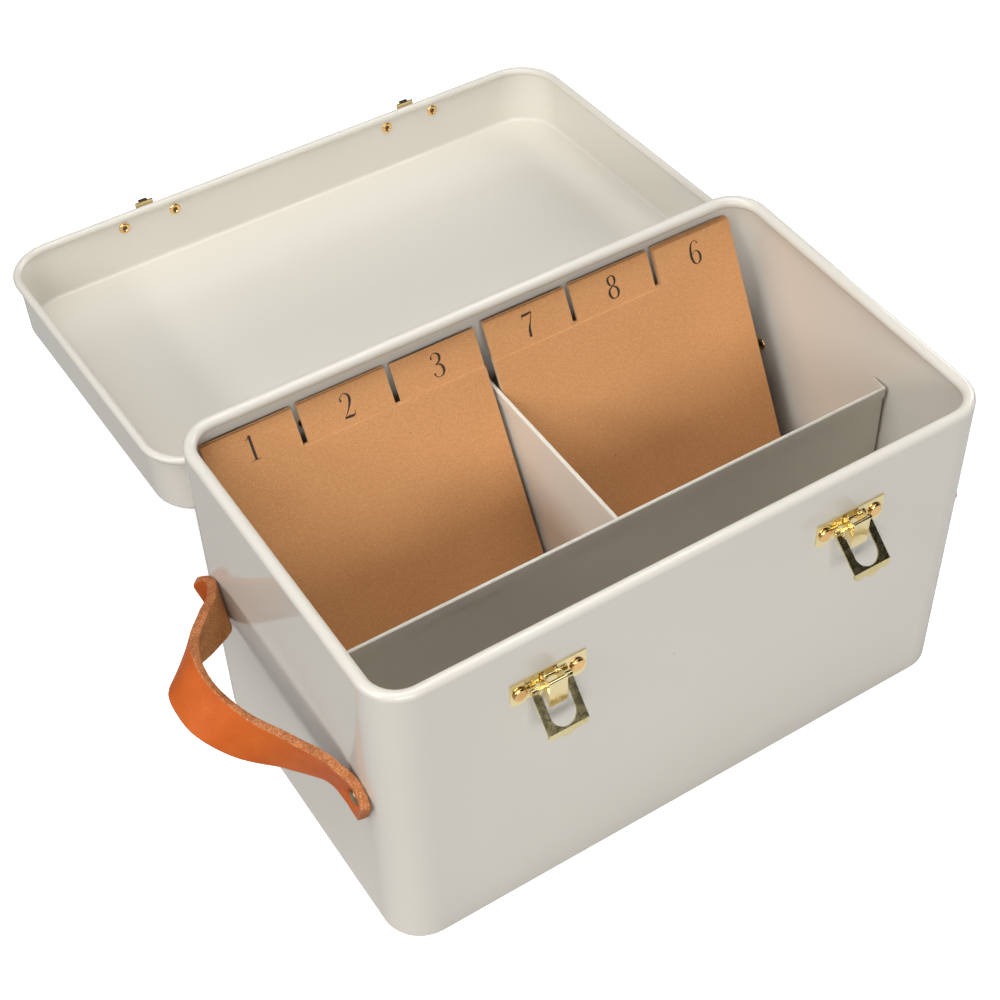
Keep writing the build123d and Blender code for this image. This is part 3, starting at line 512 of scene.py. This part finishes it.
CREAM = cream_enamel()
BRASS = bright_metal("brass_plate", BRASS_TONE, BRASS_SHADE, 0.15)
HASP_BRASS = bright_metal("hasp_brass", HASP_TONE, HASP_TARNISH, 0.25, 0.9)
COPPER = bright_metal("copper_rivet", COPPER_TONE, COPPER_SHADE, 0.21)
SUNK_RIVET = bright_metal("sunk_rivet", SUNK_TONE, SUNK_SHADE, 0.38, 0.9)
HINGE_METAL = bright_metal("hinge_metal", HINGE_TONE, HINGE_SHADE, 0.22, 0.8)
STRAP_GRAIN = tan_leather()
STRAP_FLESH = raw_leather("strap_flesh_side", FLESH_TONE, FLESH_SHADE, FLESH_PALE, 90.0)
STRAP_EDGE = raw_leather(
    "strap_cut_edge", CUT_LEATHER_TONE, CUT_LEATHER_SHADE, CUT_LEATHER_PALE, 200.0
)
KRAFT = kraft_card()
INK = printing_ink()
HOLLOW_SHADE = eyelet_hollow()


def dress(node, material):
    """Gives a carried-over CAD node one of the finishes above."""
    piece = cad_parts[node]
    if not piece.material_slots:
        piece.data.materials.append(material)
    for slot in piece.material_slots:
        slot.link = "OBJECT"
        slot.material = material


for node_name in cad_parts:
    if node_name.startswith("card_"):
        dress(node_name, KRAFT)
    elif node_name == "handle_rivets":
        dress(node_name, SUNK_RIVET)
    elif node_name.startswith("latch_hasp"):
        dress(node_name, HASP_BRASS)
    elif "rivets" in node_name:
        dress(node_name, COPPER)
    elif node_name.startswith("hinge_"):
        dress(node_name, HINGE_METAL)
    elif node_name.startswith(("latch_", "keeper_", "lever_", "hasp_")):
        dress(node_name, BRASS)
    else:
        dress(node_name, CREAM)


# Leather handles


HANDLE_HALF_SPAN = 62.5
HANDLE_RIVET_Z = 86.4
HANDLE_WIDTH = 21.4
HANDLE_THICKNESS = 4.2
HANDLE_WALL_GAP = 0.3
HANDLE_OUT = (37.4, 35.7, 28.4, 15.3, 3.8, 0.0)
HANDLE_RISE = (24.4, 24.0, 19.4, 13.0, 6.1, 0.0)
HANDLE_TILT = (41.5, 40.0, 22.2, -5.6, -13.6, 0.0)
HANDLE_END = 8.4
HANDLE_END_CORNER = 2.0
HANDLE_EDGE_ROUND = 0.6
HANDLE_FACE_STEPS = 26
SEAT_RADIUS = 3.7
SEAT_DEPTH = 2.3
SEAT_LIP_RADIUS = 4.4
SEAT_LIP_DEPTH = 1.1
SEAT_PULL_RADIUS = 11.0
SEAT_ZONE = 0.75
SEAT_STRETCH = 1.1
CURL_START = 2.6
END_GAPS = (0.0, 0.08, 0.3, 0.7, 1.2, 2.0)
SEAT_STEPS = 36
MIDDLE_STEPS = 64
ALONG_STEP = 1e-3
GRAIN_ZONE = 0
FLESH_ZONE = 1
EDGE_ZONE = 2
HANDLE_CURLS = {("left", -1): 0.5, ("left", 1): 2.6, ("right", -1): 4.4, ("right", 1): 0.6}


def strap_station(values, u, end_slope):
    """Smooth curve through the six stations from the strap's middle to its rivet."""
    last = len(values) - 1
    place = min(abs(u) * last, last - 1e-9)
    index = int(place)
    t = place - index
    slopes = [0.0]
    slopes += [(values[i + 1] - values[i - 1]) / 2 for i in range(1, last)]
    slopes += [end_slope]
    rise = values[index] * (2 * t**3 - 3 * t**2 + 1) + slopes[index] * (t**3 - 2 * t**2 + t)
    return rise + values[index + 1] * (-2 * t**3 + 3 * t**2) + slopes[index + 1] * (t**3 - t**2)


def strap_middle(side, sign, u):
    """Middle line of the strap; past the rivets it runs on along the wall and curls off it."""
    inner = max(-1.0, min(1.0, u))
    out = strap_station(HANDLE_OUT, inner, 0.0)
    slope = HANDLE_RISE[-1] - HANDLE_RISE[-2]
    rise = strap_station(HANDLE_RISE, inner, slope)
    x = sign * (BODY_HALF_LENGTH + HANDLE_WALL_GAP + HANDLE_THICKNESS / 2 + out)
    point = Vector((x, HANDLE_HALF_SPAN * inner, HANDLE_RIVET_Z + rise))
    if abs(u) > 1:
        past = (abs(u) - 1) * HANDLE_HALF_SPAN
        ahead = Vector((0, math.copysign(HANDLE_HALF_SPAN / 5, u), slope)).normalized()
        point += ahead * past
        curl = HANDLE_CURLS[(side, 1 if u > 0 else -1)]
        share = max(0.0, past - CURL_START) / (HANDLE_END - CURL_START)
        point.x += sign * curl * share**2
    return point


def seat_depth(distance):
    """How far the grain side is drawn in round a rivet."""
    if distance < SEAT_RADIUS:
        return SEAT_DEPTH
    if distance < SEAT_LIP_RADIUS:
        share = (distance - SEAT_RADIUS) / (SEAT_LIP_RADIUS - SEAT_RADIUS)
        return SEAT_DEPTH + (SEAT_LIP_DEPTH - SEAT_DEPTH) * share
    share = min(1.0, (distance - SEAT_LIP_RADIUS) / (SEAT_PULL_RADIUS - SEAT_LIP_RADIUS))
    return SEAT_LIP_DEPTH * (1 - share) ** 2


def edge_points(across_sign, out_sign, angles, flat, deep):
    """Points round one edge of the strap's cross-section."""
    points = []
    for angle in angles:
        turn = math.radians(angle)
        place = across_sign * flat + HANDLE_EDGE_ROUND * math.cos(turn)
        points.append((place, out_sign * deep + HANDLE_EDGE_ROUND * math.sin(turn)))
    return points


def strap_ring(side, sign, u, half_width):
    """One cross-section with crisp edges, as points in order and the zone of each span."""
    ahead = strap_middle(side, sign, u + ALONG_STEP)
    along = (ahead - strap_middle(side, sign, u - ALONG_STEP)).normalized()
    tilt = math.radians(strap_station(HANDLE_TILT, max(-1.0, min(1.0, u)), 0.0))
    upward = Vector((-sign * math.sin(tilt), 0, math.cos(tilt)))
    across = (upward - along * upward.dot(along)).normalized()
    outer = across.cross(along).normalized()
    if outer.x * sign < 0:
        outer = -outer
    middle = strap_middle(side, sign, u)
    half = HANDLE_THICKNESS / 2
    flat = half_width - HANDLE_EDGE_ROUND
    deep = half - HANDLE_EDGE_ROUND
    rivet_run = (abs(u) - 1) * HANDLE_HALF_SPAN * SEAT_STRETCH
    grain_side = []
    flesh_side = []
    for k in range(HANDLE_FACE_STEPS + 1):
        place = -flat + 2 * flat * k / HANDLE_FACE_STEPS
        drawn = seat_depth(math.hypot(rivet_run, place)) if abs(u) > SEAT_ZONE else 0.0
        grain_side.append((place, half - drawn))
        flesh_side.append((flat - 2 * flat * k / HANDLE_FACE_STEPS, -half))
    upper_edge = edge_points(1, 1, (60, 30, 0), flat, deep)
    upper_edge += edge_points(1, -1, (0, -30, -60), flat, deep)
    lower_edge = edge_points(-1, -1, (-120, -150, 180), flat, deep)
    lower_edge += edge_points(-1, 1, (180, 150, 120), flat, deep)
    local = grain_side + upper_edge + flesh_side + lower_edge
    zones = [GRAIN_ZONE] * HANDLE_FACE_STEPS + [EDGE_ZONE] * (len(upper_edge) + 1)
    zones += [FLESH_ZONE] * HANDLE_FACE_STEPS + [EDGE_ZONE] * (len(lower_edge) + 1)
    points = [middle + across * a + outer * t for a, t in local]
    return points, zones


def strap_stations():
    """Places along the strap with its half width there; close together at the two ends."""
    end_u = 1 + HANDLE_END / HANDLE_HALF_SPAN
    corner = HANDLE_END_CORNER
    tail = []
    for gap in END_GAPS:
        cut = corner - math.sqrt(max(0.0, corner**2 - (corner - gap) ** 2))
        tail.append((end_u - gap / HANDLE_HALF_SPAN, HANDLE_WIDTH / 2 - cut))
    start = tail[-1][0]
    for k in range(1, SEAT_STEPS + 1):
        tail.append((start + (SEAT_ZONE - start) * k / SEAT_STEPS, HANDLE_WIDTH / 2))
    middle = []
    for k in range(1, MIDDLE_STEPS):
        middle.append((SEAT_ZONE - 2 * SEAT_ZONE * k / MIDDLE_STEPS, HANDLE_WIDTH / 2))
    return tail + middle + [(-u, wide) for u, wide in reversed(tail)]


def leather_strap(side, sign):
    """Thick bent strap with square ends, crisp cut edges and a deep seat round each rivet."""
    bm = bmesh.new()
    rings = []
    for u, half_width in strap_stations():
        points, zones = strap_ring(side, sign, u, half_width)
        rings.append([bm.verts.new(point) for point in points])
    count = len(rings[0])
    for a, b in zip(rings, rings[1:]):
        for k in range(count):
            face = bm.faces.new((a[k], a[(k + 1) % count], b[(k + 1) % count], b[k]))
            face.material_index = zones[k]
    for ring in (rings[0], rings[-1]):
        face = bm.faces.new(ring)
        face.material_index = EDGE_ZONE
    finishes = (STRAP_GRAIN, STRAP_FLESH, STRAP_EDGE)
    strap = piece_from(bm, f"leather_handle_{side}", finishes, sharp=42)
    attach(strap, "box")
    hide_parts(f"handle_strap_{side}")


for side_name, side_sign in (("left", -1), ("right", 1)):
    leather_strap(side_name, side_sign)


# Hollow ends of the rivets on the inner faces


# Radius and height of the rolled ring, from the wall to the lip of the hollow
EYELET_PROFILE = (
    (2.95, 0.0),
    (2.95, 0.28),
    (2.8, 0.62),
    (2.45, 0.86),
    (2.05, 0.92),
    (1.7, 0.84),
    (1.42, 0.68),
    (1.25, 0.56),
)
EYELET_STEPS = 28


def add_eyelet(bm, seat, inward):
    """Rolled ring round a hollow closed by a disc of painted shade, its axis along the inward
    direction.
    """
    side = inward.orthogonal().normalized()
    other = inward.cross(side)
    rings = []
    for radius, height in EYELET_PROFILE:
        ring = []
        for k in range(EYELET_STEPS):
            turn = 2 * math.pi * k / EYELET_STEPS
            spoke = side * math.cos(turn) + other * math.sin(turn)
            ring.append(bm.verts.new(seat + spoke * radius + inward * height))
        rings.append(ring)
    for a, b in zip(rings, rings[1:]):
        for k in range(EYELET_STEPS):
            bm.faces.new((a[k], a[(k + 1) % EYELET_STEPS], b[(k + 1) % EYELET_STEPS], b[k]))
    # The hollow is closed by a flat disc that carries the painted shade
    hollow = bm.faces.new(rings[-1])
    hollow.material_index = 1


def eyelet_row(name, body, places, inward, turn=None):
    bm = bmesh.new()
    for place in places:
        seat = Vector(place)
        axis = Vector(inward)
        if turn is not None:
            seat = turn @ seat
            axis = turn.to_3x3() @ axis
        add_eyelet(bm, seat, axis)
    row = piece_from(bm, name, (COPPER, HOLLOW_SHADE), sharp=60)
    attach(row, body)


def pair_places(middles, spacing, y, z):
    return [(x + step * spacing, y, z) for x in middles for step in (-0.5, 0.5)]


LATCH_MIDDLES = (-FITTING_X + LATCH_SHIFT, FITTING_X + LATCH_SHIFT)
HINGE_MIDDLES = (-FITTING_X, FITTING_X)
OPEN_LID = lid_open_matrix()
FRONT_INNER = -BODY_HALF_WIDTH + SHEET
LID_FRONT_INNER = -LID_HALF_WIDTH + SHEET
latch_places = pair_places(LATCH_MIDDLES, RIVET_SPACING, FRONT_INNER, PLATE_RIVET_Z)
hinge_places = pair_places(HINGE_MIDDLES, RIVET_SPACING, -FRONT_INNER, HINGE_RIVET_Z)
keeper_places = pair_places(LATCH_MIDDLES, KEEPER_RIVET_SPACING, LID_FRONT_INNER, KEEPER_RIVET_Z)
lid_leaf_places = pair_places(HINGE_MIDDLES, RIVET_SPACING, -LID_FRONT_INNER, LID_LEAF_RIVET_Z)
eyelet_row("latch_eyelets", "box", latch_places, (0, 1, 0))
eyelet_row("hinge_eyelets", "box", hinge_places, (0, -1, 0))
eyelet_row("keeper_eyelets", "lid", keeper_places, (0, 1, 0), OPEN_LID)
eyelet_row("lid_hinge_eyelets", "lid", lid_leaf_places, (0, -1, 0), OPEN_LID)
for side_name, side_sign in (("left", -1), ("right", 1)):
    wall_x = side_sign * (BODY_HALF_LENGTH - SHEET)
    ends = [(wall_x, y, HANDLE_RIVET_Z) for y in (-HANDLE_HALF_SPAN, HANDLE_HALF_SPAN)]
    eyelet_row(f"handle_eyelets_{side_name}", "box", ends, (-side_sign, 0, 0))


# Folded hem along the top of the long divider


HEM_HALF = 0.95
HEM_HEIGHT = 5.5
HEM_ROUND = 0.75
HEM_ROUND_STEPS = 6
HEM_LIFT = 0.05


def divider_hem():
    """The sheet folded over itself along the long divider's top edge."""
    profile = [(-HEM_HALF, -HEM_HEIGHT), (HEM_HALF, -HEM_HEIGHT)]
    for first, out in ((0, HEM_HALF - HEM_ROUND), (90, -HEM_HALF + HEM_ROUND)):
        for k in range(HEM_ROUND_STEPS + 1):
            turn = math.radians(first + 90 * k / HEM_ROUND_STEPS)
            up = -HEM_ROUND + HEM_ROUND * math.sin(turn)
            profile.append((out + HEM_ROUND * math.cos(turn), up))
    bm = bmesh.new()
    rings = []
    top = DIVIDER_TOP + HEM_LIFT
    for x in (-DIVIDER_HALF_LENGTH, DIVIDER_HALF_LENGTH):
        rings.append([bm.verts.new((x, DIVIDER_MIDDLE_Y + out, top + up)) for out, up in profile])
    near, far = rings
    count = len(profile)
    for k in range(count):
        after = (k + 1) % count
        bm.faces.new((near[k], near[after], far[after], far[k]))
    for ring in rings:
        bm.faces.new(ring)
    hem = piece_from(bm, "divider_hem", (CREAM,), sharp=40)
    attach(hem, "divider")


divider_hem()


# Numerals on the card tabs


NUMERAL_HEIGHT = 11.5
INK_LIFT = 0.05
INK_LAYER = 0.004
# Each stroke is a line of (across, up, stroke width) in units of the numeral's height
NUMERAL_STROKES = {
    "0": (
        ((0.27, 0.985, 0.03), (0.43, 0.86, 0.09), (0.485, 0.5, 0.12),
         (0.43, 0.14, 0.09), (0.27, 0.015, 0.03)),
        ((0.27, 0.985, 0.03), (0.11, 0.86, 0.09), (0.055, 0.5, 0.12),
         (0.11, 0.14, 0.09), (0.27, 0.015, 0.03)),
    ),
    "1": (
        ((0.27, 1.0, 0.11), (0.27, 0.5, 0.11), (0.27, 0.0, 0.11)),
        ((0.27, 0.985, 0.03), (0.18, 0.9, 0.03), (0.08, 0.86, 0.03)),
        ((0.08, 0.012, 0.026), (0.27, 0.012, 0.026), (0.46, 0.012, 0.026)),
    ),
    "2": (
        ((0.08, 0.72, 0.09), (0.09, 0.88, 0.035), (0.26, 0.985, 0.03),
         (0.42, 0.89, 0.08), (0.45, 0.72, 0.115),
         (0.37, 0.48, 0.08), (0.2, 0.22, 0.035), (0.04, 0.03, 0.028)),
        ((0.04, 0.03, 0.028), (0.2, 0.055, 0.1), (0.38, 0.04, 0.1),
         (0.49, 0.08, 0.045), (0.51, 0.22, 0.025)),
    ),
    "3": (
        ((0.08, 0.78, 0.09), (0.11, 0.92, 0.035), (0.26, 0.985, 0.03),
         (0.41, 0.9, 0.09), (0.44, 0.76, 0.115),
         (0.36, 0.6, 0.07), (0.19, 0.54, 0.03)),
        ((0.19, 0.54, 0.03), (0.4, 0.47, 0.07), (0.48, 0.27, 0.12),
         (0.42, 0.09, 0.08), (0.25, 0.015, 0.03),
         (0.1, 0.08, 0.04), (0.06, 0.22, 0.09)),
    ),
    "4": (
        ((0.4, 1.0, 0.028), (0.22, 0.64, 0.028), (0.03, 0.28, 0.028)),
        ((0.03, 0.28, 0.028), (0.3, 0.28, 0.028), (0.56, 0.28, 0.028)),
        ((0.4, 1.0, 0.105), (0.4, 0.5, 0.105), (0.4, 0.0, 0.105)),
        ((0.25, 0.012, 0.026), (0.4, 0.012, 0.026), (0.55, 0.012, 0.026)),
    ),
    "5": (
        ((0.12, 0.95, 0.09), (0.3, 0.95, 0.1), (0.47, 0.98, 0.03)),
        ((0.12, 0.97, 0.028), (0.11, 0.74, 0.028), (0.1, 0.52, 0.028)),
        ((0.1, 0.52, 0.028), (0.26, 0.6, 0.035), (0.43, 0.5, 0.1), (0.48, 0.3, 0.12), (0.4, 0.08, 0.07),
         (0.24, 0.015, 0.03), (0.1, 0.08, 0.045), (0.06, 0.2, 0.09)),
    ),
    "6": (
        ((0.46, 0.84, 0.08), (0.41, 0.95, 0.03), (0.29, 0.985, 0.03),
         (0.13, 0.82, 0.08), (0.06, 0.45, 0.12),
         (0.11, 0.14, 0.09), (0.27, 0.015, 0.03), (0.43, 0.12, 0.09),
         (0.48, 0.3, 0.115), (0.42, 0.49, 0.07),
         (0.28, 0.565, 0.03), (0.13, 0.45, 0.03)),
    ),
    "7": (
        ((0.05, 0.94, 0.1), (0.28, 0.94, 0.1), (0.5, 0.96, 0.06)),
        ((0.05, 0.98, 0.026), (0.04, 0.88, 0.026), (0.03, 0.78, 0.026)),
        ((0.5, 0.95, 0.03), (0.36, 0.62, 0.045), (0.25, 0.32, 0.1), (0.22, 0.0, 0.115)),
    ),
    "8": (
        ((0.27, 0.985, 0.03), (0.4, 0.91, 0.075), (0.43, 0.77, 0.1),
         (0.38, 0.62, 0.07), (0.27, 0.54, 0.03)),
        ((0.27, 0.985, 0.03), (0.14, 0.91, 0.075), (0.11, 0.77, 0.1),
         (0.16, 0.62, 0.07), (0.27, 0.54, 0.03)),
        ((0.27, 0.54, 0.03), (0.43, 0.43, 0.08), (0.48, 0.26, 0.115),
         (0.41, 0.08, 0.07), (0.27, 0.015, 0.03)),
        ((0.27, 0.54, 0.03), (0.11, 0.43, 0.08), (0.06, 0.26, 0.115),
         (0.13, 0.08, 0.07), (0.27, 0.015, 0.03)),
    ),
    "9": (
        ((0.08, 0.16, 0.08), (0.13, 0.05, 0.03), (0.25, 0.015, 0.03),
         (0.41, 0.18, 0.08), (0.48, 0.55, 0.12),
         (0.43, 0.86, 0.09), (0.27, 0.985, 0.03), (0.11, 0.88, 0.09),
         (0.06, 0.7, 0.115), (0.12, 0.51, 0.07),
         (0.26, 0.435, 0.03), (0.41, 0.55, 0.03)),
    ),
}
NUMERAL_ADVANCE = 0.56
NUMERAL_LAST_GAP = 0.02


def smooth_line(points, steps=8):
    """Points along a smooth curve through the given ones, widths included."""
    ends = [points[0]] + list(points) + [points[-1]]
    line = []
    for index in range(1, len(ends) - 2):
        p0, p1, p2, p3 = (Vector(ends[index + k]) for k in (-1, 0, 1, 2))
        for k in range(steps):
            t = k / steps
            place = p1 * 2 + (p2 - p0) * t + (p0 * 2 - p1 * 5 + p2 * 4 - p3) * t**2
            place += (p1 * 3 - p0 - p2 * 3 + p3) * t**3
            line.append(place / 2)
    line.append(Vector(points[-1]))
    return line


def ink_stroke(bm, points, corner, right, up, lift):
    """One stroke as a flat ribbon whose width swells and thins along it."""
    line = smooth_line(points)
    rails = []
    for index, place in enumerate(line):
        before = line[max(0, index - 1)]
        after = line[min(len(line) - 1, index + 1)]
        ahead = Vector((after.x - before.x, after.y - before.y)).normalized()
        across = Vector((-ahead.y, ahead.x)) * place.z / 2
        pair = []
        for sign in (1, -1):
            x = (place.x + sign * across.x) * NUMERAL_HEIGHT
            y = (place.y + sign * across.y) * NUMERAL_HEIGHT
            pair.append(bm.verts.new(corner + right * x + up * y + lift))
        rails.append(pair)
    for a, b in zip(rails, rails[1:]):
        bm.faces.new((a[0], a[1], b[1], b[0]))


def tab_numeral(card_number, stack_x, lean, order, count, tab):
    """The card's own number, printed in the middle of its tab."""
    foot_y = REAR_TAB_Y - (count - 1 - order) * CARD_PITCH - CARD_LENGTH * math.sin(lean)
    right = Vector((1, 0, 0))
    up = Vector((0, math.sin(lean), math.cos(lean)))
    facing = Vector((0, -math.cos(lean), math.sin(lean)))
    foot = Vector((stack_x, foot_y, CARD_FOOT_Z))
    digits = str(card_number)
    width = (len(digits) * NUMERAL_ADVANCE - NUMERAL_LAST_GAP) * NUMERAL_HEIGHT
    tab_x = tab * (CARD_WIDTH / 2 - CARD_TAB_WIDTH / 2)
    low = CARD_LENGTH - CARD_TAB_HEIGHT / 2 - NUMERAL_HEIGHT / 2
    corner = foot + right * (tab_x - width / 2) + up * low
    bm = bmesh.new()
    layer = 0
    for digit in digits:
        for stroke in NUMERAL_STROKES[digit]:
            lift = facing * (CARD_THICKNESS / 2 + INK_LIFT + INK_LAYER * layer)
            ink_stroke(bm, stroke, corner, right, up, lift)
            layer += 1
        corner = corner + right * NUMERAL_ADVANCE * NUMERAL_HEIGHT
    numeral = piece_from(bm, f"tab_numeral_{card_number:02d}", (INK,), sharp=80)
    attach(numeral, f"card_{card_number:02d}")


def all_numerals():
    """Numbers the left stack from its front card, then the right one."""
    card_number = 1
    stacks = ((LEFT_STACK_X, LEFT_LEAN, LEFT_TABS), (RIGHT_STACK_X, RIGHT_LEAN, RIGHT_TABS))
    for stack_x, lean, tabs in stacks:
        for order, tab in enumerate(tabs):
            tab_numeral(card_number, stack_x, lean, order, len(tabs), tab)
            card_number += 1


all_numerals()


# Studio


FLOOR_REACH = 4000.0
FLOOR_STEPS = 12
FLOOR_GREY = (0.66, 0.66, 0.66, 1)
FLOOR_GREY_SHADE = (0.64, 0.64, 0.64, 1)
FLOOR_DARK_BOUNCE = (0.2, 0.2, 0.2, 1)
FLOOR_SEEN = (0.9, 0.9, 0.9, 1)
AIR_STRENGTH = 0.063
DARK_STRETCH_TOWARD = (0.3, -0.75, 0.6)
# Name, place and aim in metres, width and height in metres, power in watts
SOFT_LIGHTS = (
    ("top_softbox", (-0.05, 0.02, 1.6), (0, -0.3, 0.1), 1.6, 0.56, 13.6),
    ("top_left", (-1.0, -0.05, 1.5), (0, 0, 0.1), 0.8, 0.8, 3.6),
    ("left_front_key", (-0.85, -1.5, 0.95), (0, 0, 0.1), 0.5, 0.5, 9.5),
    ("front_mid", (-0.25, -1.7, 1.05), (0, 0, 0.1), 0.6, 0.4, 8.2),
    ("left_strip", (-1.65, 0.0, 0.98), (0, 0, 0.1), 1.5, 0.28, 13.0),
    ("right_fill", (1.7, 0.5, 1.0), (0, 0.1, 0.1), 1.2, 1.0, 15.2),
)
CAMERA_PLACE = (-0.33013, -0.48469, 0.73861)
CAMERA_RIGHT = (0.83498, -0.55027, -0.00361)
CAMERA_UP = (0.41024, 0.61809, 0.67057)
CAMERA_FORWARD = (0.36676, 0.56140, -0.74183)


def studio_floor():
    """Pale floor: the camera sees it almost white, the box gets a softer bounce from it, darker left of
    the box as painted shade.
    """
    bm = bmesh.new()
    rows = []
    for k in range(FLOOR_STEPS + 1):
        y = -FLOOR_REACH + 2 * FLOOR_REACH * k / FLOOR_STEPS
        rows.append([bm.verts.new((-FLOOR_REACH, y, 0)), bm.verts.new((FLOOR_REACH, y, 0))])
    for a, b in zip(rows, rows[1:]):
        bm.faces.new((a[0], a[1], b[1], b[0]))
    material, tree, shader = fresh_material("studio_floor", roughness=0.9)
    tone = place_group(
        tree, CLOUDY_TONE, Colour=FLOOR_GREY, Other_Colour=FLOOR_GREY_SHADE, Size=1.0
    )
    # Painted shade: left of the box the floor is darker for the light it bounces, though the camera
    # never sees it
    parts = tree.nodes.new("ShaderNodeSeparateXYZ")
    tree.links.new(object_position(tree), parts.inputs[0])
    beside = ramp(tree, parts.outputs["X"], -0.1, -0.28)
    bounce = mix_colour(tree, beside, tone.outputs["Colour"], FLOOR_DARK_BOUNCE)
    seen = tree.nodes.new("ShaderNodeLightPath").outputs["Is Camera Ray"]
    colour = mix_colour(tree, seen, bounce, FLOOR_SEEN)
    tree.links.new(colour, shader.inputs["Base Color"])
    shader.inputs["Emission Color"].default_value = (1, 1, 1, 1)
    away = tree.nodes.new("ShaderNodeVectorMath")
    away.operation = "LENGTH"
    tree.links.new(object_position(tree), away.inputs[0])
    glow = ramp(tree, away.outputs["Value"], 0.5, 1.6, 0.55, 1.0)
    tree.links.new(math_node(tree, "MULTIPLY", seen, glow), shader.inputs["Emission Strength"])
    floor = piece_from(bm, "studio_floor", (material,))


def soft_light(name, place, aim, width, height, power):
    light = bpy.data.lights.new(name, "AREA")
    light.shape = "RECTANGLE"
    light.size = width
    light.size_y = height
    light.energy = power
    lamp = bpy.data.objects.new(name, light)
    lamp.location = place
    lamp.rotation_euler = (Vector(aim) - Vector(place)).to_track_quat("-Z", "Y").to_euler()
    bpy.context.scene.collection.objects.link(lamp)


def studio_air():
    """Even pale studio with a darker stretch in front, and white where the camera looks."""
    world = bpy.data.worlds.new("studio_air")
    world.use_nodes = True
    tree = world.node_tree
    air = tree.nodes["Background"]
    output = tree.nodes["World Output"]
    direction = tree.nodes.new("ShaderNodeTexCoord").outputs["Generated"]
    toward = tree.nodes.new("ShaderNodeVectorMath")
    toward.operation = "DOT_PRODUCT"
    toward.inputs[1].default_value = Vector(DARK_STRETCH_TOWARD).normalized()
    tree.links.new(direction, toward.inputs[0])
    shade = ramp(tree, toward.outputs["Value"], 0.55, 0.92, 1.0, 0.04)
    colour = mix_colour(tree, shade, (0.0, 0.0, 0.0, 1), (1.0, 1.0, 1.0, 1))
    tree.links.new(colour, air.inputs["Color"])
    air.inputs["Strength"].default_value = AIR_STRENGTH
    white = tree.nodes.new("ShaderNodeBackground")
    white.inputs["Color"].default_value = (1, 1, 1, 1)
    seen = tree.nodes.new("ShaderNodeLightPath").outputs["Is Camera Ray"]
    either = tree.nodes.new("ShaderNodeMixShader")
    tree.links.new(seen, either.inputs[0])
    tree.links.new(air.outputs[0], either.inputs[1])
    tree.links.new(white.outputs[0], either.inputs[2])
    tree.links.new(either.outputs[0], output.inputs["Surface"])
    bpy.context.scene.world = world


def photo_camera():
    """Camera at the place and angle that the photograph was taken from."""
    camera = bpy.data.cameras.new("photo_camera")
    camera.sensor_width = 36.0
    camera.lens = 70.06
    camera.shift_x = -0.0575
    camera.shift_y = 0.0402
    camera.clip_start = 0.05
    camera.clip_end = 50.0
    viewer = bpy.data.objects.new("photo_camera", camera)
    backward = -Vector(CAMERA_FORWARD)
    turn = Matrix((Vector(CAMERA_RIGHT), Vector(CAMERA_UP), backward)).transposed()
    viewer.matrix_world = Matrix.Translation(Vector(CAMERA_PLACE)) @ turn.to_4x4()
    bpy.context.scene.collection.objects.link(viewer)
    bpy.context.scene.camera = viewer


studio_floor()
studio_air()
for light in SOFT_LIGHTS:
    soft_light(*light)
photo_camera()
bpy.context.scene.view_settings.view_transform = "Standard"
